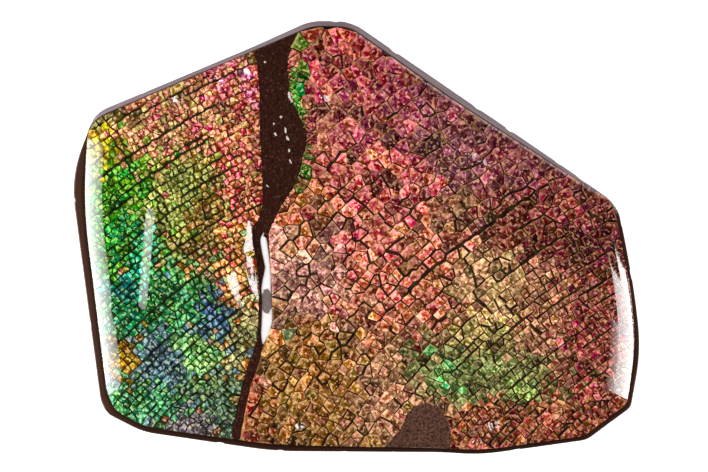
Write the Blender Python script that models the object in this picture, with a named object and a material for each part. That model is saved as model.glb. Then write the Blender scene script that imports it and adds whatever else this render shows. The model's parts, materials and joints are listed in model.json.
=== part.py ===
"""Ammolite specimen: two sheets of fossil ammonite shell on their dark ironstone matrix.

A loose hand specimen, lying on its sawn back. The rim is ground in flat facets that lean
in a little, and the face is polished to a low dome. A seam where the shell is missing
parts it into a left and a right sheet, and a small bay at the lower rim shows bare
matrix too. Sizes below are in millimetres; the meshes are made in metres, +Z up, with
the origin under the middle of the back.
"""

import math

import bmesh
import bpy

MM = 0.001

# The sawn back's outline, clockwise from the left: x, y and how far the corner is eased
BACK_CORNERS = [
    (-32.3, 6.8, 3.4),
    (-29.5, 14.1, 1.5),
    (-11.8, 21.5, 3.0),
    (-5.2, 24.5, 1.3),
    (-0.6, 24.5, 1.7),
    (10.5, 16.9, 2.0),
    (24.7, 7.2, 2.0),
    (29.7, 3.6, 1.9),
    (31.5, -5.9, 3.0),
    (32.25, -12.7, 3.0),
    (31.1, -19.2, 0.5),
    (26.1, -22.9, 0.7),
    (14.0, -24.6, 2.2),
    (9.5, -24.3, 1.7),
    (-9.2, -24.2, 2.8),
    (-24.1, -22.0, 1.4),
    (-28.2, -19.9, 0.6),
    (-28.9, -18.4, 0.6),
]

# The same corners where the ground wall meets the polished face
FACE_CORNERS = [
    (-30.6, 3.6, 4.5),
    (-30.1, 13.0, 1.9),
    (-11.9, 20.8, 3.0),
    (-4.9, 23.7, 1.3),
    (-0.7, 23.6, 1.3),
    (10.5, 15.7, 1.0),
    (24.6, 6.6, 1.7),
    (28.4, 4.1, 1.4),
    (30.4, -5.7, 3.0),
    (31.4, -12.1, 3.0),
    (30.5, -18.7, 0.5),
    (25.7, -22.3, 0.7),
    (14.2, -23.9, 2.2),
    (9.4, -23.7, 1.7),
    (-9.2, -23.3, 2.8),
    (-23.6, -21.3, 1.4),
    (-27.0, -19.5, 0.8),
    (-28.0, -17.4, 0.9),
]
CORNER_STEPS = 4
RUN_LENGTH = 6.0
WALL_HEIGHT = 6.6
ABOVE_ALL = 12.0
BELOW_ALL = -3.0

# The polished face: a rounded shoulder, a low dome and a shallow valley along the seam
SHOULDER_RADIUS = 5.0
SHOULDER_TILT = math.radians(40)
SHOULDER_SHARE = 0.12
SHOULDER_STEPS = 4
SHOULDER_OVERRUN = 0.3
FLARE_SHARE = 0.09
MEAN_HALF_WIDTH = 26.0
DOME_RISE = 0.75
DOME_HALF_LENGTH = 34.0
DOME_HALF_WIDTH = 27.0
VALLEY_DEPTH = 0.66
VALLEY_END_DEPTH = 0.10
VALLEY_MIDDLE = -5.0
VALLEY_REACH = 8.6
VALLEY_POWER = 3.0
VALLEY_SHIFT = -0.1

# Along the valley from the top down: y, its half width on the left and on the right
VALLEY_WIDTHS = [
    (3.2, 2.4, 2.4),
    (1.8, 1.1, 2.4),
    (0.9, 0.95, 1.7),
    (0.2, 0.95, 0.9),
    (-1.4, 1.15, 0.85),
    (-4.0, 1.0, 0.9),
    (-5.4, 1.1, 0.95),
    (-6.8, 2.2, 1.5),
    (-8.2, 3.2, 1.5),
    (-8.9, 3.4, 1.0),
    (-11.0, 3.4, 1.0),
    (-12.2, 3.4, 1.4),
    (-14.0, 3.4, 2.0),
]

# Shallow polished hollows: x, y, half length, half width, turn in degrees, depth
HOLLOWS = [
    (-23.2, -5.2, 5.0, 1.6, 86, 0.10),
    (-13.4, -6.2, 3.0, 1.3, 80, 0.10),
    (-3.6, -8.8, 4.2, 2.6, 60, 0.12),
    (15.2, 8.0, 2.6, 1.8, 50, 0.10),
    (-7.0, -2.4, 1.5, 1.0, 60, 0.07),
]

# Places where the polish steps down to one side: x, y, half length, half width, turn, drop
TERRACES = [
    (-13.75, -6.0, 2.1, 0.52, -67, 0.15),
    (-23.6, -5.3, 3.7, 0.50, -80, -0.18),
]

# Across the seam from the top rim to the bottom: y, the left sheet's edge, the right's
SEAM_ROWS = [
    (27.0, -12.2, -4.6),
    (22.6, -11.6, -6.7),
    (20.8, -11.3, -7.5),
    (18.4, -11.0, -7.6),
    (15.6, -10.8, -7.3),
    (13.2, -10.8, -6.1),
    (11.7, -10.8, -5.4),
    (10.2, -10.7, -5.6),
    (6.7, -10.5, -6.5),
    (5.1, -10.5, -7.3),
    (3.3, -10.5, -8.5),
    (1.3, -10.6, -9.6),
    (0.2, -11.5, -9.9),
    (-1.5, -11.4, -10.3),
    (-4.1, -11.15, -10.15),
    (-7.1, -11.2, -10.2),
    (-11.4, -11.5, -10.4),
    (-13.8, -12.1, -10.9),
    (-16.2, -12.7, -11.7),
    (-19.3, -13.4, -12.4),
    (-23.0, -14.1, -13.1),
    (-27.0, -14.8, -13.8),
]

# The bay of bare matrix, open to the lower rim
BAY_CORNERS = [
    (0.9, -27.0, 0.3),
    (3.4, -23.4, 1.0),
    (4.9, -21.6, 0.7),
    (6.2, -18.9, 0.8),
    (8.3, -18.4, 0.9),
    (10.2, -20.4, 1.0),
    (10.7, -22.6, 0.9),
    (10.2, -27.0, 0.3),
]

SHELL_THICKNESS = 0.8
GAP = 0.3
FAR = 45.0
POCKET_LOW = 2.5
POCKET_HIGH = 11.0

# The face is a grid that follows the seam, finer beside it
GRID_STEP = 1.9
SEAM_STEP = 0.8
SEAM_STEPS = 3
GRID_COLUMNS = (-14, 26)
GRID_ROWS = (-15, 15)

SMOOTH_BELOW = math.radians(28)
SLIVER = 0.02


def clear_scene():
    for old in list(bpy.data.objects):
        bpy.data.objects.remove(old, do_unlink=True)


def collection(name):
    group = bpy.data.collections.new(name)
    bpy.context.scene.collection.children.link(group)
    return group


def eased(corners, runs):
    """Round each corner with a short curve, and cut the straight run after it in pieces."""
    points = []
    count = len(corners)
    for i, (x, y, ease) in enumerate(corners):
        before, after = corners[i - 1], corners[(i + 1) % count]
        into = towards(corners[i], before, ease)
        out = towards(corners[i], after, ease)
        for step in range(CORNER_STEPS + 1):
            t = step / CORNER_STEPS
            a, b, c = (1 - t) ** 2, 2 * t * (1 - t), t * t
            points.append((a * into[0] + b * x + c * out[0], a * into[1] + b * y + c * out[1]))
        stop = towards(after, corners[i], after[2])
        for step in range(1, runs[i]):
            points.append(between(out, stop, step / runs[i]))
    return points


def between(start, end, t):
    return start[0] + (end[0] - start[0]) * t, start[1] + (end[1] - start[1]) * t


def towards(start, end, distance):
    """The point a distance along the way, or 45% of it where that is shorter."""
    return between(start, end, min(distance / math.dist(start[:2], end[:2]), 0.45))


def run_pieces(corners):
    """How many pieces each straight run between two corners is cut into."""
    following = corners[1:] + corners[:1]
    return [math.ceil(math.dist(a[:2], b[:2]) / RUN_LENGTH) for a, b in zip(corners, following)]


def row_at(rows, y):
    """The two numbers of a table, from the top down, that belong to y."""
    for (y0, left0, right0), (y1, left1, right1) in zip(rows, rows[1:]):
        if y >= y1:
            t = min(max((y0 - y) / (y0 - y1), 0.0), 1.0)
            return left0 + (left1 - left0) * t, right0 + (right1 - right0) * t
    return rows[-1][1:]


def seam_edges(y):
    """The x of the left and the right sheet's broken edge at y."""
    return row_at(SEAM_ROWS, y)


def shoulder_rise(t):
    """Height of the rounded shoulder over the wall, for t from 0 at the rim to 1."""
    angle = math.asin(math.sin(SHOULDER_TILT) * (1 - t))
    return SHOULDER_RADIUS * (math.cos(angle) - math.cos(SHOULDER_TILT))


def dome(x, y):
    return DOME_RISE * (1 - (x / DOME_HALF_LENGTH) ** 2 - (y / DOME_HALF_WIDTH) ** 2)


def face_height(x, y):
    """Height of the polished face above the back, inside the shoulder."""
    left_width, right_width = row_at(VALLEY_WIDTHS, y)
    off_seam = x - sum(seam_edges(y)) / 2 - VALLEY_SHIFT
    off_seam = abs(off_seam) / (left_width if off_seam < 0 else right_width)
    along = math.exp(-((y - VALLEY_MIDDLE) / VALLEY_REACH) ** 4)
    depth = VALLEY_END_DEPTH + (VALLEY_DEPTH - VALLEY_END_DEPTH) * along
    sunk = depth * math.exp(-off_seam ** VALLEY_POWER)
    for cx, cy, half_length, half_width, turn, deep in HOLLOWS:
        u, v = turned(x - cx, y - cy, turn)
        sunk += deep * math.exp(-(u / half_length) ** 2 - (v / half_width) ** 2)
    for cx, cy, half_length, half_width, turn, drop in TERRACES:
        u, v = turned(x - cx, y - cy, turn)
        u, v = u / half_length, v / half_width
        sunk += drop * math.tanh(v) * math.exp(-u ** 4 - (v / 5) ** 2)
    return WALL_HEIGHT + shoulder_rise(1.0) + dome(x, y) - sunk


def turned(x, y, degrees):
    """The parts of an offset along and across a direction."""
    c, s = math.cos(math.radians(degrees)), math.sin(math.radians(degrees))
    return x * c + y * s, y * c - x * s


def column_offset(k):
    """How far a grid column stands from the middle of the seam."""
    near = min(abs(k), SEAM_STEPS) * SEAM_STEP
    far = max(abs(k) - SEAM_STEPS, 0) * GRID_STEP
    return math.copysign(near + far, k)


def plate(name, outline, low, high, group):
    """A flat slab with the given outline between two heights."""
    curve = bpy.data.curves.new(name + "_outline", "CURVE")
    curve.dimensions = "2D"
    curve.fill_mode = "BOTH"
    curve.extrude = (high - low) / 2 * MM
    spline = curve.splines.new("POLY")
    spline.points.add(len(outline) - 1)
    for point, (x, y) in zip(spline.points, outline):
        point.co = (x * MM, y * MM, 0, 1)
    spline.use_cyclic_u = True
    drawn = bpy.data.objects.new(name + "_outline", curve)
    group.objects.link(drawn)
    drawn.location.z = (high + low) / 2 * MM
    bpy.context.view_layer.update()
    evaluated = drawn.evaluated_get(bpy.context.evaluated_depsgraph_get())
    mesh = bpy.data.meshes.new_from_object(evaluated)
    mesh.name = name
    slab = bpy.data.objects.new(name, mesh)
    group.objects.link(slab)
    slab.matrix_world = drawn.matrix_world
    bpy.data.objects.remove(drawn, do_unlink=True)
    bm = bmesh.new()
    bm.from_mesh(mesh)
    bmesh.ops.remove_doubles(bm, verts=bm.verts, dist=0.00001)
    bmesh.ops.recalc_face_normals(bm, faces=bm.faces)
    bm.to_mesh(mesh)
    bm.free()
    return slab


def loft(name, rings, group):
    """A closed solid through rings of points, all with the same count."""
    bm = bmesh.new()
    loops = [[bm.verts.new((x * MM, y * MM, z * MM)) for x, y, z in ring] for ring in rings]
    bm.faces.new(loops[0])
    bm.faces.new(loops[-1])
    for lower, upper in zip(loops, loops[1:]):
        for i in range(len(lower)):
            bm.faces.new((lower[i - 1], lower[i], upper[i], upper[i - 1]))
    bmesh.ops.recalc_face_normals(bm, faces=bm.faces)
    mesh = bpy.data.meshes.new(name)
    bm.to_mesh(mesh)
    bm.free()
    solid = bpy.data.objects.new(name, mesh)
    group.objects.link(solid)
    return solid


def face_ring(share, rise, below):
    """The face outline scaled about the middle, on the dome plus a rise, less a depth."""
    ring = [(x * share, y * share) for x, y in FACE_OUTLINE]
    return [(x, y, WALL_HEIGHT + dome(x, y) + rise - below) for x, y in ring]


def shoulder_rings(below):
    """The rounded shoulder from the rim in, running on a little above the face."""
    rings = []
    for step in range(SHOULDER_STEPS):
        t = step / SHOULDER_STEPS
        rings.append(face_ring(1 - SHOULDER_SHARE * t, shoulder_rise(t), below))
    t = 1 + 1 / SHOULDER_STEPS
    rings.append(face_ring(1 - SHOULDER_SHARE * t, shoulder_rise(1) + SHOULDER_OVERRUN, below))
    rings.append([(x, y, ABOVE_ALL - below) for x, y, z in rings[-1]])
    return rings


def polished_blank(name, group, cutters):
    """The whole specimen in one: sawn back, leaning walls, shoulder and polished face."""
    back = [(x, y, 0.0) for x, y in BACK_OUTLINE]
    stone = loft(name, [back] + shoulder_rings(0.0), group)
    carve(stone, "DIFFERENCE", above_face(name + "_face", 0.0, cutters))
    return stone


def core(name, below, cutters):
    """What lies deeper than a set depth below the face, wider than the walls all round."""
    drop = FLARE_SHARE * MEAN_HALF_WIDTH * math.tan(SHOULDER_TILT)
    flare = face_ring(1 + FLARE_SHARE, -drop, below)
    foot = [(x, y, BELOW_ALL) for x, y, z in flare]
    inside = loft(name, [foot, flare] + shoulder_rings(below), cutters)
    carve(inside, "DIFFERENCE", above_face(name + "_top", below, cutters))
    return inside


def above_face(name, below, group):
    """All that is higher than a surface a set depth below the polished face."""
    first, last = GRID_COLUMNS
    low, high = GRID_ROWS
    bm = bmesh.new()
    bmesh.ops.create_grid(bm, x_segments=last - first, y_segments=high - low, size=0.5)
    for vertex in bm.verts:
        column = round((vertex.co.x + 0.5) * (last - first)) + first
        row = round((vertex.co.y + 0.5) * (high - low)) + low
        y = row * GRID_STEP
        x = sum(seam_edges(y)) / 2 + column_offset(column)
        vertex.co = (x * MM, y * MM, (face_height(x, y) - below) * MM)
    raised = bmesh.ops.extrude_face_region(bm, geom=bm.faces[:], use_keep_orig=True)
    for vertex in raised["geom"]:
        if isinstance(vertex, bmesh.types.BMVert):
            vertex.co.z = (ABOVE_ALL + 3.0) * MM
    bmesh.ops.recalc_face_normals(bm, faces=bm.faces)
    mesh = bpy.data.meshes.new(name)
    bm.to_mesh(mesh)
    bm.free()
    cutter = bpy.data.objects.new(name, mesh)
    group.objects.link(cutter)
    return cutter


def carve(target, operation, cutter):
    """Cut or keep what two solids share, and store the result as plain mesh."""
    modifier = target.modifiers.new(cutter.name, "BOOLEAN")
    modifier.operation = operation
    modifier.object = cutter
    modifier.solver = "EXACT"
    bpy.context.view_layer.update()
    evaluated = target.evaluated_get(bpy.context.evaluated_depsgraph_get())
    mesh = bpy.data.meshes.new_from_object(evaluated)
    target.modifiers.clear()
    target.data = mesh


def left_region(spare):
    """Plan of the left sheet's side of the seam, held back from its edge by spare."""
    edge = [(left - spare, y) for y, left, right in SEAM_ROWS]
    return [(-FAR, SEAM_ROWS[0][0])] + edge + [(-FAR, SEAM_ROWS[-1][0])]


def right_region(spare):
    edge = [(right + spare, y) for y, left, right in SEAM_ROWS]
    return [(FAR, SEAM_ROWS[0][0])] + edge + [(FAR, SEAM_ROWS[-1][0])]


def bay_region(spare):
    """Plan of the bay, grown by spare about its middle."""
    outline = eased(BAY_CORNERS, [1] * len(BAY_CORNERS))
    middle_x = sum(x for x, y in outline) / len(outline)
    middle_y = min(y for x, y in outline)
    grown = []
    for x, y in outline:
        dx, dy = x - middle_x, y - middle_y
        length = math.hypot(dx, dy)
        grown.append((x + dx / length * spare, y + dy / length * spare))
    return grown


def dress(target, name, color, roughness, metallic, coat):
    """Name the finished solid, join points closer than a sliver, shade and colour it."""
    target.name = name
    target.data.name = name
    bm = bmesh.new()
    bm.from_mesh(target.data)
    bmesh.ops.remove_doubles(bm, verts=bm.verts, dist=SLIVER * MM)
    bmesh.ops.dissolve_degenerate(bm, edges=bm.edges, dist=SLIVER * MM)
    bm.to_mesh(target.data)
    bm.free()
    target.data.shade_smooth()
    target.data.set_sharp_from_angle(angle=SMOOTH_BELOW)
    material = bpy.data.materials.new(name)
    material.use_nodes = True
    shader = material.node_tree.nodes["Principled BSDF"]
    shader.inputs["Base Color"].default_value = (*color, 1)
    shader.inputs["Roughness"].default_value = roughness
    shader.inputs["Metallic"].default_value = metallic
    shader.inputs["Coat Weight"].default_value = coat
    target.data.materials.clear()
    target.data.materials.append(material)


def matrix_stone(parts, cutters):
    """The ironstone: polished flush in the seam and the bay, lower under each sheet."""
    stone = polished_blank("matrix_stone", parts, cutters)
    under_shell = core("under_shell", SHELL_THICKNESS + GAP, cutters)
    bay = plate("bay", bay_region(0.0), BELOW_ALL, ABOVE_ALL, cutters)
    for side, region in (("left", left_region(0.0)), ("right", right_region(0.0))):
        pocket = plate("pocket_" + side, region, POCKET_LOW, POCKET_HIGH, cutters)
        if side == "right":
            carve(pocket, "DIFFERENCE", bay)
        carve(pocket, "DIFFERENCE", under_shell)
        carve(stone, "DIFFERENCE", pocket)
    dress(stone, "matrix_stone", (0.032, 0.012, 0.009), 0.45, 0.0, 0.6)


def shell_sheet(name, region, bay, color, parts, cutters):
    """One sheet of shell: the specimen's own walls and face, down to the sheet's underside."""
    sheet = polished_blank(name, parts, cutters)
    carve(sheet, "INTERSECT", plate(name + "_side", region, BELOW_ALL, POCKET_HIGH, cutters))
    if bay:
        carve(sheet, "DIFFERENCE", plate(name + "_bay", bay, BELOW_ALL - 1, ABOVE_ALL, cutters))
    carve(sheet, "DIFFERENCE", core(name + "_core", SHELL_THICKNESS, cutters))
    dress(sheet, name, color, 0.3, 0.4, 1.0)


RUNS = run_pieces(BACK_CORNERS)
BACK_OUTLINE = eased(BACK_CORNERS, RUNS)
FACE_OUTLINE = eased(FACE_CORNERS, RUNS)

clear_scene()
parts = collection("ammolite_specimen")
cutters = collection("cutters")
matrix_stone(parts, cutters)
shell_sheet("ammolite_sheet_left", left_region(GAP), None, (0.25, 0.33, 0.05), parts, cutters)
shell_sheet(
    "ammolite_sheet_right", right_region(GAP), bay_region(GAP), (0.55, 0.12, 0.06), parts, cutters
)
for cutter in cutters.objects:
    cutter.hide_render = True
    cutter.display_type = "WIRE"
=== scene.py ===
# %% [markdown]
# # An ammolite specimen
#
# Ammolite is the shell of an ammonite that lay in shale for about seventy million years.
# The pressure crushed it in place, so the mother-of-pearl is broken in thousands of small
# tiles that never moved apart, and dark ironstone filled the cracks. This script dresses
# the plain solids of one such piece: a brown stone, ground at the rim and sawn flat at the
# back, and two sheets of shell that a seam of bare stone keeps apart.
#
# The first cell loads the solids. They are the size that everything below has to keep.

# %% Load the solids
import colorsys
import json
import math

import bmesh
import bpy
import numpy as np
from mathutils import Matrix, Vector
from mathutils import geometry
from mathutils import noise

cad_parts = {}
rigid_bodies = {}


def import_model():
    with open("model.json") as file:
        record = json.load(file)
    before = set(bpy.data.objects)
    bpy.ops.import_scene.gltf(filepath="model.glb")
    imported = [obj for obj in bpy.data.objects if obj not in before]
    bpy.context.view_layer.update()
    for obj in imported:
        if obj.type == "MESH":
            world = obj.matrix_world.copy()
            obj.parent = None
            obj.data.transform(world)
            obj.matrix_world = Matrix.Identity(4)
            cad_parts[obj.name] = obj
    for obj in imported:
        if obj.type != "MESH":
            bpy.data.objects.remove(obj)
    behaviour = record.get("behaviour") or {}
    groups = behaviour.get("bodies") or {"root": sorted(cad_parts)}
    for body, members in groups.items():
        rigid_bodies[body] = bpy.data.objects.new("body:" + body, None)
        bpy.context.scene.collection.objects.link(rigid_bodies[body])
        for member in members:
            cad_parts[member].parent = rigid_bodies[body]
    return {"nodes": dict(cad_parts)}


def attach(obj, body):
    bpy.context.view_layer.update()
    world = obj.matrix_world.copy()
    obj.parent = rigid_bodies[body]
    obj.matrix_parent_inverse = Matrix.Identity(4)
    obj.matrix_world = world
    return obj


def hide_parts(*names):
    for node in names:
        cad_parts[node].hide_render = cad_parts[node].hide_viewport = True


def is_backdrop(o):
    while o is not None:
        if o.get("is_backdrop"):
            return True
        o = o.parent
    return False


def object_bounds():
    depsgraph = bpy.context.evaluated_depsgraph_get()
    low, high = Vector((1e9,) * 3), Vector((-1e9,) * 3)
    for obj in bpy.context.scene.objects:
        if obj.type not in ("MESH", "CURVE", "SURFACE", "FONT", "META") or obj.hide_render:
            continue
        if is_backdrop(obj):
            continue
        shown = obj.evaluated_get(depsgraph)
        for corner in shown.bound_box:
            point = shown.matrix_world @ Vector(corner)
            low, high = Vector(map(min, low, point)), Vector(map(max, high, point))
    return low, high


for default in list(bpy.data.objects):
    bpy.data.objects.remove(default)
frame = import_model()
cad_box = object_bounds()
print("solids:", sorted(frame["nodes"]), "box:", [list(corner) for corner in cad_box])

# %% [markdown]
# ## Measures
#
# Lengths below are in millimetres, and MM turns them into the metres that Blender holds.
# Places on the face were read from the photograph, which is 708 by 472 pixels. It looks
# straight down from far away, so one length a pixel is enough to turn a place in the
# picture into a place on the stone. An object of known size in the picture would be the
# better ruler; here the size of the crackle tiles is the only one.

# %% Millimetres and picture places
MM = 0.001
PIXEL = 0.1129
PICTURE_CENTRE = (354.0, 236.0)
MIDDLE_PIXEL = (355.9, 237.5)
CAMERA_HEIGHT = 1500.0
FACE_LEVEL = 7.5


def from_picture(column, row, level=FACE_LEVEL):
    """The place in millimetres that a picture place shows, at a height above the back."""
    nearer = PIXEL * (CAMERA_HEIGHT - level) / CAMERA_HEIGHT
    x = (PICTURE_CENTRE[0] - MIDDLE_PIXEL[0]) * PIXEL + (column - PICTURE_CENTRE[0]) * nearer
    y = (MIDDLE_PIXEL[1] - PICTURE_CENTRE[1]) * PIXEL + (PICTURE_CENTRE[1] - row) * nearer
    return x, y


print("the picture's left edge is at", round(from_picture(0, 0)[0], 2), "mm")

# %% [markdown]
# ## The outline
#
# The rim was ground by hand on a wheel, in straight facets with small eased corners. Each
# corner is a point and the distance at which the easing starts. A quadratic curve through
# those makes the same easing as a Bevel would, and it can be sampled as finely as a piece
# needs. The back's outline and the face's outline have matching corners, because the wall
# between them leans in by a different amount on each facet.

# %% Outlines of the back and the face
BACK_CORNERS = [
    (-32.3, 6.8, 3.4),
    (-29.5, 14.1, 1.5),
    (-11.8, 21.5, 3.0),
    (-5.2, 24.5, 1.3),
    (-0.6, 24.5, 1.7),
    (10.5, 16.9, 2.0),
    (24.7, 7.2, 2.0),
    (29.7, 3.6, 1.9),
    (31.5, -5.9, 3.0),
    (32.25, -12.7, 3.0),
    (31.1, -19.2, 0.5),
    (26.1, -22.9, 0.7),
    (14.0, -24.6, 2.2),
    (9.5, -24.3, 1.7),
    (-9.2, -24.2, 2.8),
    (-24.1, -22.0, 1.4),
    (-28.2, -19.9, 0.6),
    (-28.9, -18.4, 0.6),
]
FACE_CORNERS = [
    (-30.6, 3.6, 4.5),
    (-30.1, 13.0, 1.9),
    (-11.9, 20.8, 3.0),
    (-4.9, 23.7, 1.3),
    (-0.7, 23.6, 1.3),
    (10.5, 15.7, 1.0),
    (24.6, 6.6, 1.7),
    (28.9, 4.1, 1.6),
    (30.95, -6.2, 3.0),
    (31.4, -12.1, 3.0),
    (30.5, -18.7, 0.5),
    (25.7, -22.3, 0.7),
    (14.2, -23.9, 2.2),
    (9.4, -23.7, 1.7),
    (-9.2, -23.3, 2.8),
    (-23.6, -21.3, 1.4),
    (-27.0, -19.5, 0.8),
    (-28.0, -17.4, 0.9),
]


def towards(start, end, distance):
    share = min(distance / np.linalg.norm(end - start), 0.45)
    return start + (end - start) * share


def eased(corners, corner_steps=12, run_step=0.3):
    """The outline as a closed ring of points, with each corner eased."""
    ring = []
    for i, (x, y, ease) in enumerate(corners):
        here = np.array((x, y))
        before = np.array(corners[i - 1][:2])
        after = np.array(corners[(i + 1) % len(corners)][:2])
        into, out = towards(here, before, ease), towards(here, after, ease)
        for t in np.linspace(0, 1, corner_steps):
            ring.append((1 - t) ** 2 * into + 2 * t * (1 - t) * here + t * t * out)
        stop = towards(after, here, corners[(i + 1) % len(corners)][2])
        pieces = max(int(np.linalg.norm(stop - out) / run_step), 1)
        for step in range(1, pieces):
            ring.append(out + (stop - out) * step / pieces)
    return np.array(ring)


face_ring = eased(FACE_CORNERS)
back_ring = eased(BACK_CORNERS)
print("face outline:", len(face_ring), "points; back outline:", len(back_ring), "points")

# %% [markdown]
# ## The polished face
#
# The face is a low dome with a rounded shoulder at the rim. Along the middle of the seam the
# polishing wheel went deeper: the face falls over a straight flank to a narrow floor, and
# climbs over another flank on the far side. A gloss surface that leans by one angle all
# over mirrors one light as one clean white streak, so the flanks' edges were read from the
# edges of the two streaks. Shallow hollows, two slanting climbs and nine nicks do the same
# for the smaller streaks and glints.
#
# Subdivision or sculpting could make such a face, but a formula has two advantages. The
# plain solids have the same dome and a coarser dip, so the pieces sit where the solids do.
# And the slope of a formula gives the exact direction of every point of the polish:
# reflections on a gloss finish show the smallest error in it.

# %% Measures of the face
WALL_HEIGHT = 6.6
SHOULDER_RADIUS = 5.0
SHOULDER_TILT = math.radians(40)
SHOULDER_SHARE = 0.12
DOME_RISE = 0.749
DOME_HALF_LENGTH = 34.0
DOME_HALF_WIDTH = 27.0
FLANK_SLOPE = 0.64
FLANK_EASE = 0.10
LEVEL_RUN = 4.5
SLOPE_STEP = 0.02
# The seam's two flanks, by picture row from the top down: the row, the columns where the
# left flank starts and ends, the same for the right one, and the floor's depth between them
FLANK_ROWS = [
    (198, 251.2, 251.2, 266.0, 266.0, 0.0),
    (214, 250.0, 250.6, 265.6, 265.6, 0.10),
    (220, 248.4, 250.6, 265.0, 265.0, 0.32),
    (223, 247.2, 251.8, 265.0, 265.0, 0.45),
    (228, 246.5, 252.2, 264.4, 264.6, 0.55),
    (234, 246.2, 252.8, 263.2, 264.8, 0.66),
    (238, 246.0, 253.1, 260.4, 267.2, 0.70),
    (243, 244.0, 253.7, 260.8, 267.8, 0.73),
    (251, 242.8, 254.4, 262.0, 269.0, 0.75),
    (262, 244.3, 255.9, 264.4, 270.4, 0.745),
    (268, 245.6, 256.7, 265.5, 271.0, 0.74),
    (280, 248.2, 258.1, 262.8, 271.6, 0.73),
    (288, 251.2, 258.9, 261.6, 271.6, 0.72),
    (297, 255.6, 259.3, 262.0, 272.0, 0.72),
    (303, 259.0, 259.4, 262.4, 272.4, 0.72),
    (312, 259.4, 259.4, 262.4, 272.8, 0.71),
    (321, 259.4, 259.4, 262.0, 273.2, 0.69),
    (333, 259.0, 259.0, 261.4, 269.8, 0.60),
    (340, 258.0, 258.0, 262.0, 266.4, 0.44),
    (345, 257.4, 257.4, 263.4, 263.6, 0.30),
    (362, 255.0, 255.0, 262.0, 262.0, 0.0),
    (470, 250.0, 250.0, 258.0, 258.0, 0.0),
]
# Shallow polished hollows: x, y, half length, half width, turn in degrees, depth. The last
# two have a depth below zero: there the shoulder was ground less, and the polish stands up
HOLLOWS = [
    (-23.2, -5.2, 5.0, 1.6, 86, 0.10),
    (-3.6, -8.8, 4.2, 2.6, 60, 0.12),
    (15.2, 8.0, 2.6, 1.8, 50, 0.10),
    (-7.0, -2.4, 1.5, 1.0, 60, 0.07),
    (-12.05, -1.55, 0.24, 0.20, 20, 0.05),
    (-31.4, 12.2, 2.2, 1.6, 90, -0.9),
    (-28.9, -18.9, 1.9, 1.6, 90, -0.8),
]
# Places where the polish climbs to one side: x, y, half length, half width, turn, slope,
# and how far it takes to level out again before and after the climb
TERRACES = [
    (-13.4, -6.15, 2.7, 0.62, -71, 0.60, 3.2, 1.05),
    (-23.55, -2.5, 6.7, 0.60, -95, 0.42, 3.0, 1.2),
]
# How deep the polish dips before a climb, where the whole climb would be 2
TERRACE_DIP = 1.8
# Nicks in the polish, each with a glint: picture place and half size
NICKS = [
    (175, 100, 0.36),
    (220, 80, 0.32),
    (247, 72, 0.38),
    (327, 98, 0.42),
    (474, 155, 0.38),
    (485, 162, 0.34),
    (479, 436, 0.46),
    (497, 424, 0.40),
    (302, 425, 0.32),
]
NICK_TURN = -72
NICK_SLOPE = 0.56
# Half length of a nick, and its two runs back to the polish, in half sizes
NICK_LENGTH, NICK_BEFORE, NICK_AFTER = 1.3, 1.6, 1.2
NICK_SPOTS = np.array([from_picture(*nick[:2]) for nick in NICKS])
for (x, y), (column, row, size) in zip(NICK_SPOTS, NICKS):
    TERRACES.append((
        x, y, NICK_LENGTH * size, size, NICK_TURN, NICK_SLOPE,
        NICK_BEFORE * size, NICK_AFTER * size))
print("climbs:", len(TERRACES), "of which nicks:", len(NICKS))

# %% [markdown]
# ## The seam
#
# The seam is the strip where the shell is gone and the stone lies bare. Its left side is
# nearly a straight line. Its right side is straight below the middle and broken above it,
# where it runs out and back again. Two edges a row are enough to describe that, because
# the small breaks come from the tiles later on.

# %% Edges of the seam
# From the bottom rim to the top: y, the left sheet's edge, the right sheet's edge
SEAM_ROWS = np.array([
    (-27.0, -14.8, -13.8),
    (-23.0, -14.1, -13.1),
    (-19.3, -13.4, -12.4),
    (-16.2, -12.7, -11.7),
    (-14.1, -12.07, -10.75),
    (-11.9, -11.17, -10.49),
    (-10.8, -10.99, -9.75),
    (-9.5, -10.99, -9.35),
    (-5.9, -10.83, -9.47),
    (-3.0, -11.11, -9.59),
    (-1.4, -11.44, -9.70),
    (0.2, -11.76, -9.87),
    (1.1, -11.70, -9.50),
    (1.8, -11.0, -9.17),
    (3.3, -10.5, -8.5),
    (5.1, -10.5, -7.3),
    (6.7, -10.5, -6.5),
    (10.2, -10.7, -5.6),
    (11.7, -10.8, -5.4),
    (13.2, -10.8, -6.1),
    (15.6, -10.8, -7.3),
    (18.4, -11.0, -7.6),
    (20.8, -11.3, -7.5),
    (22.6, -11.6, -6.7),
    (27.0, -12.2, -4.6),
])


def seam_edges(y):
    rows, left, right = SEAM_ROWS.T
    return np.interp(y, rows, left), np.interp(y, rows, right)


print("the seam is", round(float(np.subtract(*seam_edges(0.0)[::-1])), 2), "mm wide in the middle")

# %% [markdown]
# ## The height formula
#
# Distance from the middle as a share of the outline's own reach says where the shoulder
# starts, and it follows the outline all round. Each flank is the difference of two eased
# ramps, so it is straight between two soft bends. What is added up here is how far the
# polish has sunk below the dome.

# %% Height of the face
def reach_of(ring):
    """How far an outline reaches from the middle in any direction."""
    angles = np.arctan2(ring[:, 1], ring[:, 0])
    order = np.argsort(angles)
    angles, reaches = angles[order], np.linalg.norm(ring, axis=1)[order]
    return lambda angle: np.interp(angle, angles, reaches, period=2 * math.pi)


face_reach = reach_of(face_ring)
back_reach = reach_of(back_ring)


def rim_share(x, y):
    """0 at the middle of the face and 1 at its rim."""
    return np.hypot(x, y) / face_reach(np.arctan2(y, x))


def smooth_step(t):
    t = np.clip(t, 0, 1)
    return t * t * (3 - 2 * t)


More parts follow.
